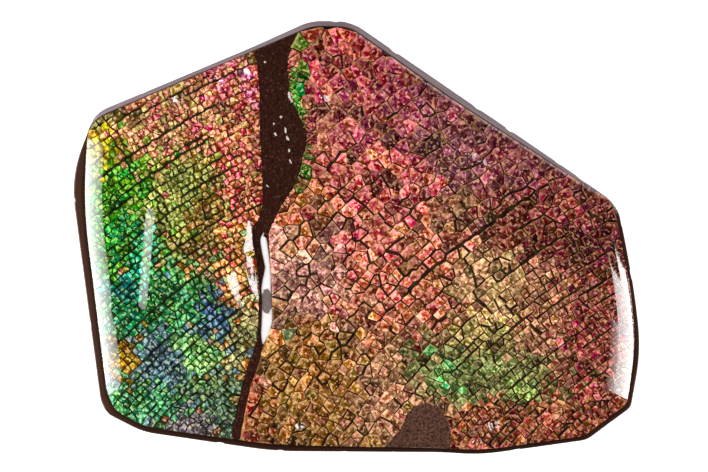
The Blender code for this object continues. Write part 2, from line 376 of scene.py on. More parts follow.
def turned_offset(x, y, centre_x, centre_y, turn):
    """How far places lie along and across a direction that is turned by some degrees."""
    c, s = math.cos(math.radians(turn)), math.sin(math.radians(turn))
    return (x - centre_x) * c + (y - centre_y) * s, (y - centre_y) * c - (x - centre_x) * s


flank_y = [(MIDDLE_PIXEL[1] - row[0]) * PIXEL for row in reversed(FLANK_ROWS)]
smooth_y = np.linspace(-27, 27, 541)
smooth_flanks = []
FLOOR_COLUMN = 5
for column in range(1, FLOOR_COLUMN + 1):
    values = np.array([row[column] for row in reversed(FLANK_ROWS)])
    if column < FLOOR_COLUMN:
        values = (values - MIDDLE_PIXEL[0]) * PIXEL
    values = np.interp(smooth_y, flank_y, values)
    smooth_flanks.append(np.convolve(np.pad(values, 5, "edge"), np.hanning(11) / 5, "valid"))


def eased_ramp(run):
    """0 before a place and the distance walked past it, with a soft start."""
    return (run + np.sqrt(run * run + FLANK_EASE ** 2)) / 2


def fade_out(run):
    return 1 - smooth_step(run / LEVEL_RUN)


def seam_depth(x, y):
    """How deep the polish dips at the seam: a floor and a straight flank on either side."""
    left_start, left_end, right_start, right_end, floor = (
        np.interp(y, smooth_y, values) for values in smooth_flanks)
    left_rise = FLANK_SLOPE * (eased_ramp(left_end - x) - eased_ramp(left_start - x))
    right_rise = FLANK_SLOPE * (eased_ramp(x - right_start) - eased_ramp(x - right_end))
    return (floor - left_rise - right_rise) * fade_out(left_start - x) * fade_out(x - right_end)


def face_height(x, y):
    t = np.clip((1 - rim_share(x, y)) / SHOULDER_SHARE, -1, 1)
    angle = np.arcsin(math.sin(SHOULDER_TILT) * (1 - np.clip(t, 0, 1)))
    rise = SHOULDER_RADIUS * (np.cos(angle) - math.cos(SHOULDER_TILT))
    dome = DOME_RISE * (1 - (x / DOME_HALF_LENGTH) ** 2 - (y / DOME_HALF_WIDTH) ** 2)
    sunk = seam_depth(x, y)
    for cx, cy, half_length, half_width, turn, deep in HOLLOWS:
        along, across = turned_offset(x, y, cx, cy, turn)
        u, v = along / half_length, across / half_width
        sunk = sunk + deep * np.exp(-u * u - v * v)
    for cx, cy, half_length, half_width, turn, slope, before, after in TERRACES:
        along, v = turned_offset(x, y, cx, cy, turn)
        u = along / half_length
        climb = eased_ramp(v + half_width) - eased_ramp(v - half_width)
        climb = climb - TERRACE_DIP * half_width
        past = (np.abs(v) - half_width) / np.where(v > 0, after, before)
        sunk = sunk - slope * climb * np.exp(-u ** 8) * (1 - smooth_step(past))
    return WALL_HEIGHT + rise + dome - sunk


def face_direction(x, y):
    """The polish's own direction: the slope of the height formula, as unit vectors."""
    step = SLOPE_STEP
    slope_x = (face_height(x + step, y) - face_height(x - step, y)) / (2 * step)
    slope_y = (face_height(x, y + step) - face_height(x, y - step)) / (2 * step)
    normals = np.stack([-slope_x, -slope_y, np.ones_like(slope_x)], axis=1)
    return normals / np.linalg.norm(normals, axis=1, keepdims=True)


def wall_reach(angle, z):
    """How far the ground wall stands from the middle at a height."""
    lean = np.clip(z / WALL_HEIGHT, 0, 1)
    return back_reach(angle) * (1 - lean) + face_reach(angle) * lean


print("height at the middle:", round(float(face_height(0.0, 0.0)), 2), "mm")

# %% [markdown]
# ## Tiles in rows
#
# The crackle isn't random. The shell broke along its growth lines first and across them
# next, so the tiles stand in gently curved rows, near square on the left sheet and larger
# and more uneven on the right. A Voronoi texture would look like mud cracks. Here each
# sheet gets its own seed points, set in rows that are arcs about a far centre, and each
# tile is the area nearest to its seed. The tiles are then real faces that can take a
# colour and a crack width each.

# %% Seeds for the tiles
FIRST_RADIUS = 20.0
LAST_RADIUS = 150.0
FIRST_ANGLE, LAST_ANGLE = 0.6, 3.1
ROW_SWING = (0.78, 1.24)
# A gap between two seeds of a row, in steps: below the first number one seed goes, and
# above a number between the last two another is set in the gap
TIGHT_GAP = 0.45
WIDE_GAP = (1.25, 1.55)
RIM_SPARE = 1.12


def rows_about(centre, spacing, along, jitter, drift, seed):
    """Seed points in arcs about a far centre, the number of each one's row, and the rows.

    Each row takes over the places of the row before, a little shifted, so that the cracks
    across the rows run on for a few tiles. Spacing is (radius, row height) pairs."""
    chance = np.random.default_rng(seed)
    at_radius, row_heights = np.array(spacing).T
    radius = FIRST_RADIUS
    step = along * row_heights[0] / radius
    angles = np.arange(FIRST_ANGLE, LAST_ANGLE, step)
    seeds, rows, radii = [], [], []
    while radius < LAST_RADIUS:
        height = np.interp(radius, at_radius, row_heights)
        radius += height * chance.uniform(*ROW_SWING)
        step = along * height / radius
        angles = np.sort(angles + step * drift * chance.normal(size=len(angles)))
        roomy = np.append(True, np.diff(angles) > TIGHT_GAP * step)
        angles = angles[roomy]
        gaps = np.diff(angles)
        wide = gaps > chance.uniform(*WIDE_GAP, size=len(gaps)) * step
        angles = np.sort(np.concatenate([angles, angles[:-1][wide] + gaps[wide] / 2]))
        spread = radius + height * jitter * chance.uniform(-1, 1, size=len(angles))
        spots = np.stack([np.cos(angles), np.sin(angles)], axis=1) * spread[:, None] + centre
        seeds.append(spots)
        rows.append(np.full(len(angles), len(radii)))
        radii.append(radius)
    seeds, rows = np.concatenate(seeds), np.concatenate(rows)
    near = rim_share(seeds[:, 0], seeds[:, 1]) < RIM_SPARE
    return seeds[near], rows[near], np.array(radii)


LEFT_CENTRE = np.array((23.3, -61.5))
RIGHT_CENTRE = np.array((67.2, -70.0))
LEFT_SPACING = [(20, 0.76), (150, 0.76)]
RIGHT_SPACING = [(20, 0.76), (76, 0.84), (86, 1.15), (102, 1.38), (118, 1.42), (150, 1.3)]
left_seeds, left_rows, left_radii = rows_about(
    LEFT_CENTRE, LEFT_SPACING, along=1.0, jitter=0.32, drift=0.25, seed=4)
right_seeds, right_rows, right_radii = rows_about(
    RIGHT_CENTRE, RIGHT_SPACING, along=1.04, jitter=0.42, drift=0.24, seed=11)
print("seeds:", len(left_seeds), "left,", len(right_seeds), "right")

# %% [markdown]
# ## Which tiles belong to a sheet
#
# A sheet ends in two ways. At the ground rim and along the straight side of the seam it
# was cut through, so its edge is a clean line. Along the other side of the seam and round
# the bay it broke off tile by tile. For a clean line the seeds near it are mirrored to the
# far side: halfway between a seed and its mirror image is the line itself. For a broken
# edge the mirror images are set a little astray. Where the shell crumbled beside the seam,
# two rows of crumb seeds follow the break and give it small tiles.

# %% Sheet regions
BAY = np.array([from_picture(*spot) for spot in (
    (378, 470), (386, 446), (399, 431), (406, 416), (414, 406), (428, 403), (438, 408),
    (445, 416), (450, 427), (451, 438), (449, 470),
)])
# The seam's right side is a clean line below this y, and broken above it
CLEAN_BELOW = 0.6
NO_ROW = -9


def inside(points, ring):
    """Which points lie inside a ring, by counting the sides that each one looks across."""
    found = np.zeros(len(points), dtype=bool)
    x, y = points.T
    for (x0, y0), (x1, y1) in zip(ring, np.roll(ring, -1, axis=0)):
        if y0 != y1:
            crossed = (y0 > y) != (y1 > y)
            found ^= crossed & (x < x0 + (x1 - x0) * (y - y0) / (y1 - y0))
    return found


def nearest_on(line, points):
    """For each point, the nearest place on a line of straight pieces, and how far it is."""
    start, step = line[:-1], np.diff(line, axis=0)
    t = ((points[:, None] - start) * step).sum(2) / (step ** 2).sum(1)
    spots = start + np.clip(t, 0, 1)[..., None] * step
    gaps = np.linalg.norm(points[:, None] - spots, axis=2)
    pick = gaps.argmin(1)
    rows = np.arange(len(points))
    return spots[rows, pick], gaps[rows, pick]


def closed(ring):
    return np.concatenate([ring, ring[:1]])


def walked_along(line):
    """How far each point of a line is from its start, measured along the line."""
    return np.concatenate([[0], np.cumsum(np.linalg.norm(np.diff(line, axis=0), axis=1))])


def keep_left(points):
    left, right = seam_edges(points[:, 1])
    return (rim_share(*points.T) < 1) & (points[:, 0] < left)


def keep_right(points):
    left, right = seam_edges(points[:, 1])
    return (rim_share(*points.T) < 1) & (points[:, 0] > right) & ~inside(points, BAY)


closed_ring = closed(face_ring)
closed_bay = closed(BAY)
seam_steps = np.linspace(-26, 26, 261)
left_line = np.stack([seam_edges(seam_steps)[0], seam_steps], axis=1)
right_line = np.stack([seam_edges(seam_steps)[1], seam_steps], axis=1)
broken_line = right_line[right_line[:, 1] >= CLEAN_BELOW]
right_line = right_line[right_line[:, 1] < CLEAN_BELOW]
LEFT_LINES = [closed_ring, left_line]
RIGHT_LINES = [closed_ring, right_line]
BROKEN_LINES = [broken_line, closed_bay]
print("broken edges:", [round(float(walked_along(line)[-1]), 1) for line in BROKEN_LINES], "mm")

# %% Seeds at the edges
CRUMB_STEP = 0.27
CRUMB_LOW, CRUMB_HIGH = 3.4, 20.4
CRUMB_ROOM = 0.45
# In mean tile sizes: how near to an edge a seed may lie, how near it has to be for a mirror
# image, and from where on the seeds beyond a broken edge are the sheet's own
EDGE_ROOM = 0.3
MIRROR_REACH = 2.2
BEYOND_EDGE = 1.3
# How far the mirror images at a broken edge are set astray
ASTRAY = 0.13


def crumbs_along(line, spacing, low, high, seed):
    """Seeds of the small tiles on a broken edge, in two uneven rows on the shell's side."""
    chance = np.random.default_rng(seed)
    walked = walked_along(line)
    at = np.arange(0, walked[-1], spacing)
    at = at + spacing * chance.uniform(-0.3, 0.3, size=len(at))
    x, y = np.interp(at, walked, line[:, 0]), np.interp(at, walked, line[:, 1])
    slope_x, slope_y = np.gradient(x), np.gradient(y)
    out = np.stack([slope_y, -slope_x], axis=1) / np.hypot(slope_x, slope_y)[:, None]
    depth = np.where(np.arange(len(at)) % 2 == 0, 0.45, 1.25) * spacing
    depth = depth * chance.uniform(0.7, 1.2, size=len(at))
    spots = np.stack([x, y], axis=1) + out * depth[:, None]
    return spots[(y > low) & (y < high)]


def with_mirrors(seeds, rows, keep, clean, broken, spacing, crumbs, seed):
    """Seeds of one sheet, and the guard seeds around it that shape its edge."""
    chance = np.random.default_rng(seed)
    inner = keep(seeds)
    kept, kept_rows = seeds[inner], rows[inner]
    for line in clean + broken:
        far = nearest_on(line, kept)[1] > spacing * EDGE_ROOM
        kept, kept_rows = kept[far], kept_rows[far]
    if len(crumbs):
        crumbs = crumbs[keep(crumbs)]
        room = np.array([np.linalg.norm(crumbs - spot, axis=1).min() for spot in kept])
        kept, kept_rows = kept[room > CRUMB_ROOM], kept_rows[room > CRUMB_ROOM]
        kept = np.concatenate([kept, crumbs])
        kept_rows = np.concatenate([kept_rows, np.full(len(crumbs), NO_ROW)])
    mirrors, torn = [], []
    for lines, found, rough in ((clean, mirrors, 0.0), (broken, torn, ASTRAY)):
        for line in lines:
            spots, gaps = nearest_on(line, kept)
            mirrored = (2 * spots - kept)[gaps < spacing * MIRROR_REACH]
            mirrored = mirrored[~keep(mirrored)]
            found.append(mirrored + rough * chance.uniform(-1, 1, size=mirrored.shape))
    beyond = seeds[~inner]
    for line in clean + broken:
        beyond = beyond[nearest_on(line, beyond)[1] > spacing * BEYOND_EDGE]
    guards = np.concatenate(mirrors + torn + [beyond])
    return kept, kept_rows, guards, sum(len(found) for found in mirrors)


band_crumbs = crumbs_along(broken_line, CRUMB_STEP, CRUMB_LOW, CRUMB_HIGH, 61)
left_kept, left_rows, left_guards, left_mirrors = with_mirrors(
    left_seeds, left_rows, keep_left, LEFT_LINES, [], 0.72, [], 62)
right_kept, right_rows, right_guards, right_mirrors = with_mirrors(
    right_seeds, right_rows, keep_right, RIGHT_LINES, BROKEN_LINES, 0.9, band_crumbs, 63)
print("tiles:", len(left_kept), "on the left sheet,", len(right_kept), "on the right")

# %% [markdown]
# ## From seeds to tiles
#
# Blender's own triangulation joins the seeds. The centre of the circle through each
# triangle is a corner that three tiles share, so a tile's outline is the ring of those
# corners around its seed. Corners that fall almost together are joined, and corners on a
# clean edge are set exactly on its line.

# %% Tile outlines
MERGE = 0.12
SNAP = 0.5


def circle_centres(points, triangles):
    a, b, c = points[triangles[:, 0]], points[triangles[:, 1]], points[triangles[:, 2]]
    b, c = b - a, c - a
    d = 2 * (b[:, 0] * c[:, 1] - b[:, 1] * c[:, 0])
    bb, cc = (b * b).sum(1), (c * c).sum(1)
    x = (c[:, 1] * bb - b[:, 1] * cc) / d
    y = (b[:, 0] * cc - c[:, 0] * bb) / d
    return a + np.stack([x, y], axis=1)


def straighten(corners, triangles, rows, radii, centre, strength):
    """Moves the corners between two rows onto the arc between them, as in brickwork."""
    known = np.concatenate([rows, np.full(triangles.max() + 1 - len(rows), NO_ROW)])[triangles]
    low, high = known.min(1), known.max(1)
    between = (low >= 0) & (high == low + 1)
    arc = (radii[low[between]] + radii[high[between]]) / 2
    offset = corners[between] - centre
    reach = np.linalg.norm(offset, axis=1)
    wanted = reach + (arc - reach) * np.interp(reach, *np.transpose(strength))
    corners[between] = centre + offset * (wanted / reach)[:, None]


def tile_outlines(kept, rows, guards, mirror_count, lines, radii, centre, strength):
    """Corners shared by the tiles, and each tile as a ring of corner numbers."""
    points = np.concatenate([kept, guards])
    found = geometry.delaunay_2d_cdt([Vector(p) for p in points], [], [], 0, 1e-7)
    numbers = [originals[0] for originals in found[3]]
    triangles = np.array([[numbers[v] for v in face] for face in found[2]])
    corners = circle_centres(points, triangles)
    straighten(corners, triangles, rows, radii, centre, strength)
    around = [[] for _ in points]
    for number, triangle in enumerate(triangles):
        for seed in triangle:
            around[seed].append(number)
    mirrored = (triangles >= len(kept)) & (triangles < len(kept) + mirror_count)
    on_edge = mirrored.any(1) & (triangles < len(kept)).any(1)
    spots, gaps = zip(*(nearest_on(line, corners[on_edge]) for line in lines))
    best = np.argmin(gaps, axis=0)
    rows = np.arange(len(best))
    close = np.array(gaps)[best, rows] < SNAP
    corners[np.flatnonzero(on_edge)[close]] = np.array(spots)[best, rows][close]
    outside = (triangles < len(kept)).any(1) & (rim_share(*corners.T) > 1)
    corners[outside] = nearest_on(closed_ring, corners[outside])[0]
    joined = np.arange(len(corners))

    def root(number):
        while joined[number] != number:
            number = joined[number]
        return number

    rings = []
    for seed in range(len(kept)):
        numbers = np.array(around[seed])
        offsets = points[triangles[numbers]].mean(1) - points[seed]
        numbers = numbers[np.argsort(np.arctan2(offsets[:, 1], offsets[:, 0]))]
        for here, after in zip(numbers, np.roll(numbers, -1)):
            if np.linalg.norm(corners[root(here)] - corners[root(after)]) < MERGE:
                joined[root(here)] = root(after)
        rings.append(numbers)
    tiles = []
    for ring in rings:
        ring = [root(number) for number in ring]
        tile = [here for here, after in zip(ring, ring[1:] + ring[:1]) if here != after]
        if len(set(tile)) == len(tile) > 2:
            tiles.append(tile)
        else:
            tiles.append([])
    return corners, tiles


left_corners, left_tiles = tile_outlines(
    left_kept, left_rows, left_guards, left_mirrors, LEFT_LINES, left_radii, LEFT_CENTRE,
    [(0, 0.5), (200, 0.5)])
right_corners, right_tiles = tile_outlines(
    right_kept, right_rows, right_guards, right_mirrors, RIGHT_LINES, right_radii,
    RIGHT_CENTRE, [(78, 0.8), (92, 0.25), (110, 0.3)])
print("sides a tile:", round(np.mean([len(tile) for tile in left_tiles + right_tiles]), 2))

# %% [markdown]
# ## Crack widths
#
# Most cracks are hair thin. A few run right across the sheet, where the crushed shell was
# pulled apart and more ironstone came in. Those follow the rows, or cross them at about a
# right angle. Each one is a short path over the picture; a crack between two tiles gets
# wide when it lies close to such a path and runs nearly the same way. A few cracks closed
# again, and towards the peak all of them get tighter.

# %% Wide cracks
# Crack widths are half widths in millimetres, here and in the paths below
THIN_LEFT = 0.052
THIN_RIGHT = 0.054
# From this y to this y, the cracks narrow from this share to this share
TIGHT_ABOVE = ((3.0, 11.0), (1.0, 0.7))
CLOSED_SHARE = 0.13
CLOSED_WIDTH = 0.012
WIDEST_THIN = 3
ROW_SWELL = 0.3
SIDE_SWELL = 0.5
SWELL_RUN = 5
SWELL_STRENGTH = 1.6
PATH_NEAR = 0.42
PATH_SLANT = math.cos(math.radians(42))
PATH_SWING = (0.65, 1.4)
# The half width, then the picture places that the crack runs through
LEFT_PATHS = [
    (0.15, (88, 190), (100, 177), (120, 163), (150, 140), (190, 120), (212, 108)),
    (0.16, (104, 216), (120, 202), (150, 178), (185, 150), (206, 138)),
    (0.13, (96, 262), (118, 248), (135, 235), (170, 210), (210, 181), (236, 168)),
    (0.12, (108, 312), (130, 290), (158, 262), (188, 238), (222, 214)),
    (0.14, (112, 352), (136, 330), (166, 300), (196, 276), (230, 262)),
    (0.11, (122, 396), (150, 366), (184, 336), (214, 310), (240, 296)),
    (0.10, (160, 424), (188, 394), (214, 366), (240, 340)),
    (0.10, (120, 120), (150, 106), (190, 90), (236, 72)),
    (0.10, (100, 110), (112, 128), (128, 160), (136, 184)),
    (0.12, (150, 178), (160, 200), (172, 232), (180, 262)),
    (0.10, (128, 236), (140, 262), (150, 290), (158, 326)),
    (0.10, (196, 276), (204, 306), (210, 336), (216, 372)),
]
RIGHT_PATHS = [
    (0.21, (404, 292), (440, 262), (472, 236), (505, 210), (532, 190)),
    (0.20, (392, 250), (416, 262), (446, 276), (480, 300), (512, 312), (540, 330)),
    (0.17, (430, 330), (456, 310), (486, 286), (520, 262), (560, 236)),
    (0.14, (330, 330), (356, 312), (392, 286), (420, 262)),
    (0.13, (444, 372), (480, 350), (520, 324), (560, 300), (596, 284)),
    (0.13, (300, 176), (330, 190), (366, 206), (402, 224), (430, 240)),
    (0.13, (356, 230), (372, 262), (384, 300), (396, 336)),
    (0.14, (452, 216), (462, 246), (478, 280), (490, 316), (500, 350)),
    (0.12, (340, 60), (352, 90), (366, 122), (384, 160)),
    (0.12, (276, 360), (300, 342), (330, 330)),
]


def side_of(here, after):
    return min(here, after), max(here, after)


def crack_widths(corners, tiles, rows, thin, paths, seed):
    """Half a crack's width for every side between two tiles, by its two corners."""
    chance = np.random.default_rng(seed)
    row_swell = np.exp(ROW_SWELL * chance.normal(size=max(rows) + 2))
    first, shared, along_row = {}, [], []
    for number, tile in enumerate(tiles):
        for here, after in zip(tile, tile[1:] + tile[:1]):
            side = side_of(here, after)
            if side in first:
                shared.append(side)
                low, high = sorted((rows[first[side]], rows[number]))
                along_row.append(low if low >= 0 and high == low + 1 else NO_ROW)
            first[side] = number
    ends = corners[np.array(shared)]
    along_row = np.array(along_row)
    middle, run = ends.mean(1), ends[:, 1] - ends[:, 0]
    run /= np.maximum(np.linalg.norm(run, axis=1, keepdims=True), 1e-9)
    widths = thin * np.interp(middle[:, 1], *TIGHT_ABOVE)
    widths = widths * np.exp(SIDE_SWELL * chance.normal(size=len(shared)))
    swell = [
        noise.noise((x / SWELL_RUN, y / SWELL_RUN, 3.7 * row))
        for (x, y), row in zip(middle, along_row)]
    swollen = widths * row_swell[along_row] * np.exp(SWELL_STRENGTH * np.array(swell))
    widths = np.where(along_row >= 0, swollen, widths)
    widths = np.where(chance.uniform(size=len(shared)) < CLOSED_SHARE, CLOSED_WIDTH, widths)
    widths = np.minimum(widths, WIDEST_THIN * thin)
    for half_width, *spots in paths:
        line = np.array([from_picture(*spot) for spot in spots])
        nearest, gaps = nearest_on(line, middle)
        piece = np.diff(line, axis=0)
        piece /= np.linalg.norm(piece, axis=1, keepdims=True)
        centres = (line[:-1] + line[1:]) / 2
        number = np.linalg.norm(nearest[:, None] - centres, axis=2).argmin(1)
        slant = np.abs((run * piece[number]).sum(1))
        wide = (gaps < PATH_NEAR) & (slant > PATH_SLANT)
        pulled = half_width * chance.uniform(*PATH_SWING, size=len(shared))
        widths = np.where(wide, np.maximum(widths, pulled), widths)
    return dict(zip(shared, widths))


left_widths = crack_widths(left_corners, left_tiles, left_rows, THIN_LEFT, LEFT_PATHS, 5)
right_widths = crack_widths(
    right_corners, right_tiles, right_rows, THIN_RIGHT, RIGHT_PATHS, 6)
print("cracks:", len(left_widths), "left,", len(right_widths), "right")

# %% [markdown]
# ## Colours
#
# The colour of ammolite comes from light that bounces between layers of aragonite, each
# about as thick as a wavelength. Thick layers give red, thinner ones gold, green and, the
# rarest, blue and violet. The layers wear and thin out from place to place, so the colours
# lie in soft pools. One tile has one colour, and where two pools meet the tiles of both
# are mixed more than they are blended. So each tile picks one pool by chance, with the near
# pools as the likely ones, and that colour is mixed with some of the blend of all pools.
# Then its hue and its brightness are moved a little. The brightness also drifts from place
# to place, and a few tiles are dull, because there the layers are worn through.
#
# A pool is a place in the picture, its half length and half width, its turn, and a colour
# in the usual 0 to 255 numbers.

# %% Pools of colour
COLOUR_POOLS = [
    ("olive", 104, 108, 20, 12, 40, (95, 78, 48)),
    ("lemon", 106, 152, 10, 12, 0, (181, 159, 5)),
    ("amber", 172, 118, 44, 22, 28, (182, 127, 99)),
    ("dusty pink", 236, 88, 30, 14, 30, (187, 99, 104)),
    ("rose", 238, 172, 18, 42, 0, (190, 111, 96)),
    ("leaf green", 118, 192, 26, 22, 40, (59, 132, 22)),
    ("bright green", 106, 236, 20, 26, 0, (34, 126, 23)),
    ("moss", 180, 198, 30, 24, 35, (138, 141, 76)),
    ("teal", 138, 240, 9, 24, 10, (70, 170, 102)),
    ("ochre", 206, 214, 18, 26, 0, (136, 105, 62)),
    ("deep teal", 122, 292, 14, 14, 0, (8, 118, 105)),
    ("sea green", 122, 318, 24, 16, 0, (38, 118, 72)),
    ("marigold", 124, 360, 11, 18, 0, (129, 88, 3)),
    ("spring green", 176, 304, 26, 20, 20, (60, 123, 73)),
    ("indigo", 216, 318, 20, 18, 0, (59, 91, 121)),
    ("slate", 160, 366, 24, 22, 0, (80, 104, 117)),
    ("lime", 200, 352, 18, 20, 0, (128, 176, 108)),
    ("grass", 142, 400, 34, 18, 10, (70, 129, 89)),
    ("plum grey", 198, 426, 20, 10, 0, (94, 83, 91)),
    ("straw", 226, 402, 16, 24, 0, (73, 98, 80)),
    ("apricot", 240, 264, 14, 34, 0, (206, 135, 96)),
    ("salmon", 242, 322, 12, 22, 0, (147, 138, 95)),
    ("crimson", 344, 62, 40, 24, -28, (160, 74, 76)),
    ("pink", 322, 116, 22, 30, 0, (151, 82, 81)),
    ("raspberry", 386, 108, 36, 24, -28, (129, 66, 75)),
    ("purple", 452, 152, 34, 20, -30, (107, 64, 72)),
    ("mauve", 508, 166, 30, 18, -30, (125, 68, 76)),
    ("coral", 386, 188, 36, 40, 0, (180, 93, 94)),
    ("copper", 396, 266, 46, 36, 0, (192, 116, 101)),
    ("khaki", 450, 216, 18, 16, 0, (142, 95, 79)),
    ("gold", 492, 288, 26, 24, 0, (171, 138, 102)),
    ("maroon", 560, 244, 50, 20, -10, (86, 35, 40)),
    ("brick", 596, 332, 28, 48, 0, (132, 66, 65)),
    ("old gold", 490, 336, 24, 14, 0, (151, 137, 87)),
    ("moss gold", 470, 372, 60, 18, 0, (92, 106, 63)),
    ("lime gold", 520, 388, 14, 10, 0, (117, 139, 78)),
    ("pea green", 452, 372, 16, 10, 0, (125, 243, 150)),
    ("rust", 520, 422, 56, 18, 12, (145, 82, 69)),
    ("clay", 386, 398, 34, 30, 0, (160, 115, 93)),
    ("honey", 306, 392, 44, 44, 0, (136, 97, 61)),
    ("ember", 254, 410, 9, 32, 0, (146, 73, 60)),
    ("peach", 308, 268, 34, 34, 0, (168, 122, 112)),
    ("chestnut", 306, 214, 22, 26, 0, (164, 100, 80)),
    ("brown red", 556, 212, 36, 20, -32, (118, 56, 59)),
    ("orange", 544, 310, 26, 38, 0, (156, 108, 88)),
    ("band green", 298, 120, 6, 60, 0, (44, 128, 48)),
]
REGION_SHADE = 0.9
REGION_RUN = 2.6
DULL_SHARE = 0.08
DULL = 0.9
POOL_CORE = 0.35


def linear(colour):
    """A 0 to 255 colour as the linear light that Blender holds."""
    share = np.asarray(colour, dtype=float) / 255
    return np.where(share <= 0.04045, share / 12.92, ((share + 0.055) / 1.055) ** 2.4)


def tile_colours(seeds, mixing, own_share, hue_spread, tile_shade, seed):
    """A colour a tile. A lower mixing number lets pools that lie further off join in, and
    own_share says how much of a tile's colour is that of the one pool it picked."""
    chance = np.random.default_rng(seed)
    weights = []
    for name, column, row, long, wide, turn, colour in COLOUR_POOLS:
        along, across = turned_offset(*seeds.T, *from_picture(column, row), turn)
        u, v = along / (long * PIXEL), across / (wide * PIXEL)
        weights.append(1 / (POOL_CORE + u * u + v * v) ** mixing)
    weights = np.array(weights) / np.sum(weights, axis=0)
    steps = np.cumsum(weights, axis=0)
    pick = (steps < chance.uniform(0, 1, size=len(seeds))).sum(0).clip(0, len(COLOUR_POOLS) - 1)
    pools = np.array([linear(pool[-1]) for pool in COLOUR_POOLS])
    colours = own_share * pools[pick] + (1 - own_share) * weights.T @ pools
    turned = hue_spread * chance.normal(size=len(seeds))
    for number, colour in enumerate(colours):
        hue, saturation, value = colorsys.rgb_to_hsv(*colour)
        colours[number] = colorsys.hsv_to_rgb(hue + turned[number], saturation, value)
    drift = np.array([noise.noise((x / REGION_RUN, y / REGION_RUN, seed)) for x, y in seeds])
    shade = tile_shade * chance.normal(size=len(seeds)) + REGION_SHADE * drift
    shade -= np.where(chance.uniform(size=len(seeds)) < DULL_SHARE, DULL, 0.0)
    return np.clip(colours * np.exp(shade)[:, None], 0.004, 0.95)


left_colours = tile_colours(
    left_kept, mixing=2.2, own_share=0.75, hue_spread=0.022, tile_shade=0.15, seed=21)
right_colours = tile_colours(
    right_kept, mixing=2.6, own_share=0.62, hue_spread=0.010, tile_shade=0.32, seed=22)
print("pools:", len(COLOUR_POOLS))

# %% [markdown]
# ## One sheet as a solid
#
# Each tile becomes a fan of small faces round a point near its middle. The crushed shell
# is a stack of broken layers, and the fan gives every tile a few facets that differ a
# little in brightness: partly by chance, and partly by painted shade, which makes the
# facets on one side of the tile lighter, mostly the upper left, as if lit from there.
# Between the tiles runs a strip that is the crack, sunk a trace below the polish. The
# same outlines, moved down by the sheet's thickness, close the underside, and a band
# joins the two round the edge. What comes out is one closed solid, so it can be printed
# or cut as it is.
#
# Extruding the tiles one by one and joining them would leave thousands of hidden walls
# inside the sheet. Building the mesh from shared corners leaves none.
#
# The faces carry what the finish needs to know: the tile's colour, a chance value, each
# facet's brightness with its painted shade, and whether it is tile, crack, outer edge or
# underside.

# %% Mesh helpers
def object_in(name, vertices, faces):
    """A new object from lists in millimetres, linked to the scene."""
    mesh = bpy.data.meshes.new(name)
    mesh.from_pydata([tuple(v) for v in np.asarray(vertices) * MM], [], faces)
    mesh.validate()
    mesh.update()
    made = bpy.data.objects.new(name, mesh)
    bpy.context.scene.collection.objects.link(made)
    return made


def set_normals(mesh, point_normals):
    """Gives every corner its point's own direction. A zero keeps the face's flat one."""
    mesh.polygons.foreach_set("use_smooth", np.ones(len(mesh.polygons), dtype=bool))
    corner_points = np.zeros(len(mesh.loops), dtype=np.int32)
    mesh.loops.foreach_get("vertex_index", corner_points)
    flat = np.zeros(len(mesh.polygons) * 3, dtype=np.float32)
    mesh.polygons.foreach_get("normal", flat)
    totals = np.zeros(len(mesh.polygons), dtype=np.int32)
    mesh.polygons.foreach_get("loop_total", totals)
    directions = np.repeat(flat.reshape(-1, 3), totals, axis=0)
    own = point_normals[corner_points]
    use = (own * directions).sum(1) > 0.5
    directions[use] = own[use]
    mesh.normals_split_custom_set(directions)


def face_attribute(mesh, name, kind, values):
    slot = mesh.attributes.new(name, kind, "FACE")
    field = "color" if kind == "FLOAT_COLOR" else "value"
    slot.data.foreach_set(field, np.asarray(values, dtype=np.float32).reshape(-1))


def point_attribute(mesh, name, values):
    slot = mesh.attributes.new(name, "FLOAT", "POINT")
    slot.data.foreach_set("value", np.asarray(values, dtype=np.float32))


def points_of(mesh):
    spots = np.zeros(len(mesh.vertices) * 3, dtype=np.float32)
    mesh.vertices.foreach_get("co", spots)
    return spots.reshape(-1, 3) / MM


# %% [markdown]
# ## A finer top where the polish turns
#
# One fan a tile is fine enough on the dome, but not at the rounded shoulder or in a nick,
# where a streak's edge would follow the tiles. A Subdivision modifier would round off the
# cracks. So only the edges along which the polish turns by a few degrees are cut, and the
# new points are set on the height formula.

# %% Refine the top
REFINE_TURN = math.cos(math.radians(4))
REFINE_CUTS = 2
NICK_REACH = 0.8
LAST_TOP_KIND = 1.5


def values_of(mesh, name):
    values = np.zeros(len(mesh.vertices), dtype=np.float32)
    mesh.attributes[name].data.foreach_get("value", values)
    return values


def refine_top(mesh, top, sink):
    """Cuts the top finer where the polish turns fast, and sets it on the formula again."""
    point_attribute(mesh, "top", top)
    point_attribute(mesh, "sink", sink)
    directions = face_direction(*points_of(mesh)[:, :2].T)
    work = bmesh.new()
    work.from_mesh(mesh)
    crack = work.faces.layers.float["crack"]
    turning = []
    for edge in work.edges:
        first, last = (point.index for point in edge.verts)
        middle = (edge.verts[0].co + edge.verts[1].co) / (2 * MM)
        in_nick = np.hypot(*(NICK_SPOTS - middle.xy).T).min() < NICK_REACH
        if in_nick or directions[first] @ directions[last] < REFINE_TURN:
            if all(face[crack] < LAST_TOP_KIND for face in edge.link_faces):
                turning.append(edge)
    bmesh.ops.subdivide_edges(work, edges=turning, cuts=REFINE_CUTS, use_grid_fill=True)
    work.to_mesh(mesh)
    work.free()
    on_top = values_of(mesh, "top") > 0.5
    depth = values_of(mesh, "sink")
    spots = points_of(mesh)
    spots[on_top, 2] = face_height(*spots[on_top, :2].T) - depth[on_top]
    mesh.vertices.foreach_set("co", (spots * MM).reshape(-1))
    for label in ("top", "sink"):
        mesh.attributes.remove(mesh.attributes[label])
    mesh.update()
    normals = np.zeros_like(spots)
    normals[on_top] = face_direction(*spots[on_top, :2].T)
    set_normals(mesh, normals)


# %% Sheet builder
SHEET_THICKNESS = 0.72
CRACK_SINK = 0.4
CRACK_DEEPEST = 0.06
EDGE_STRIP = 0.04
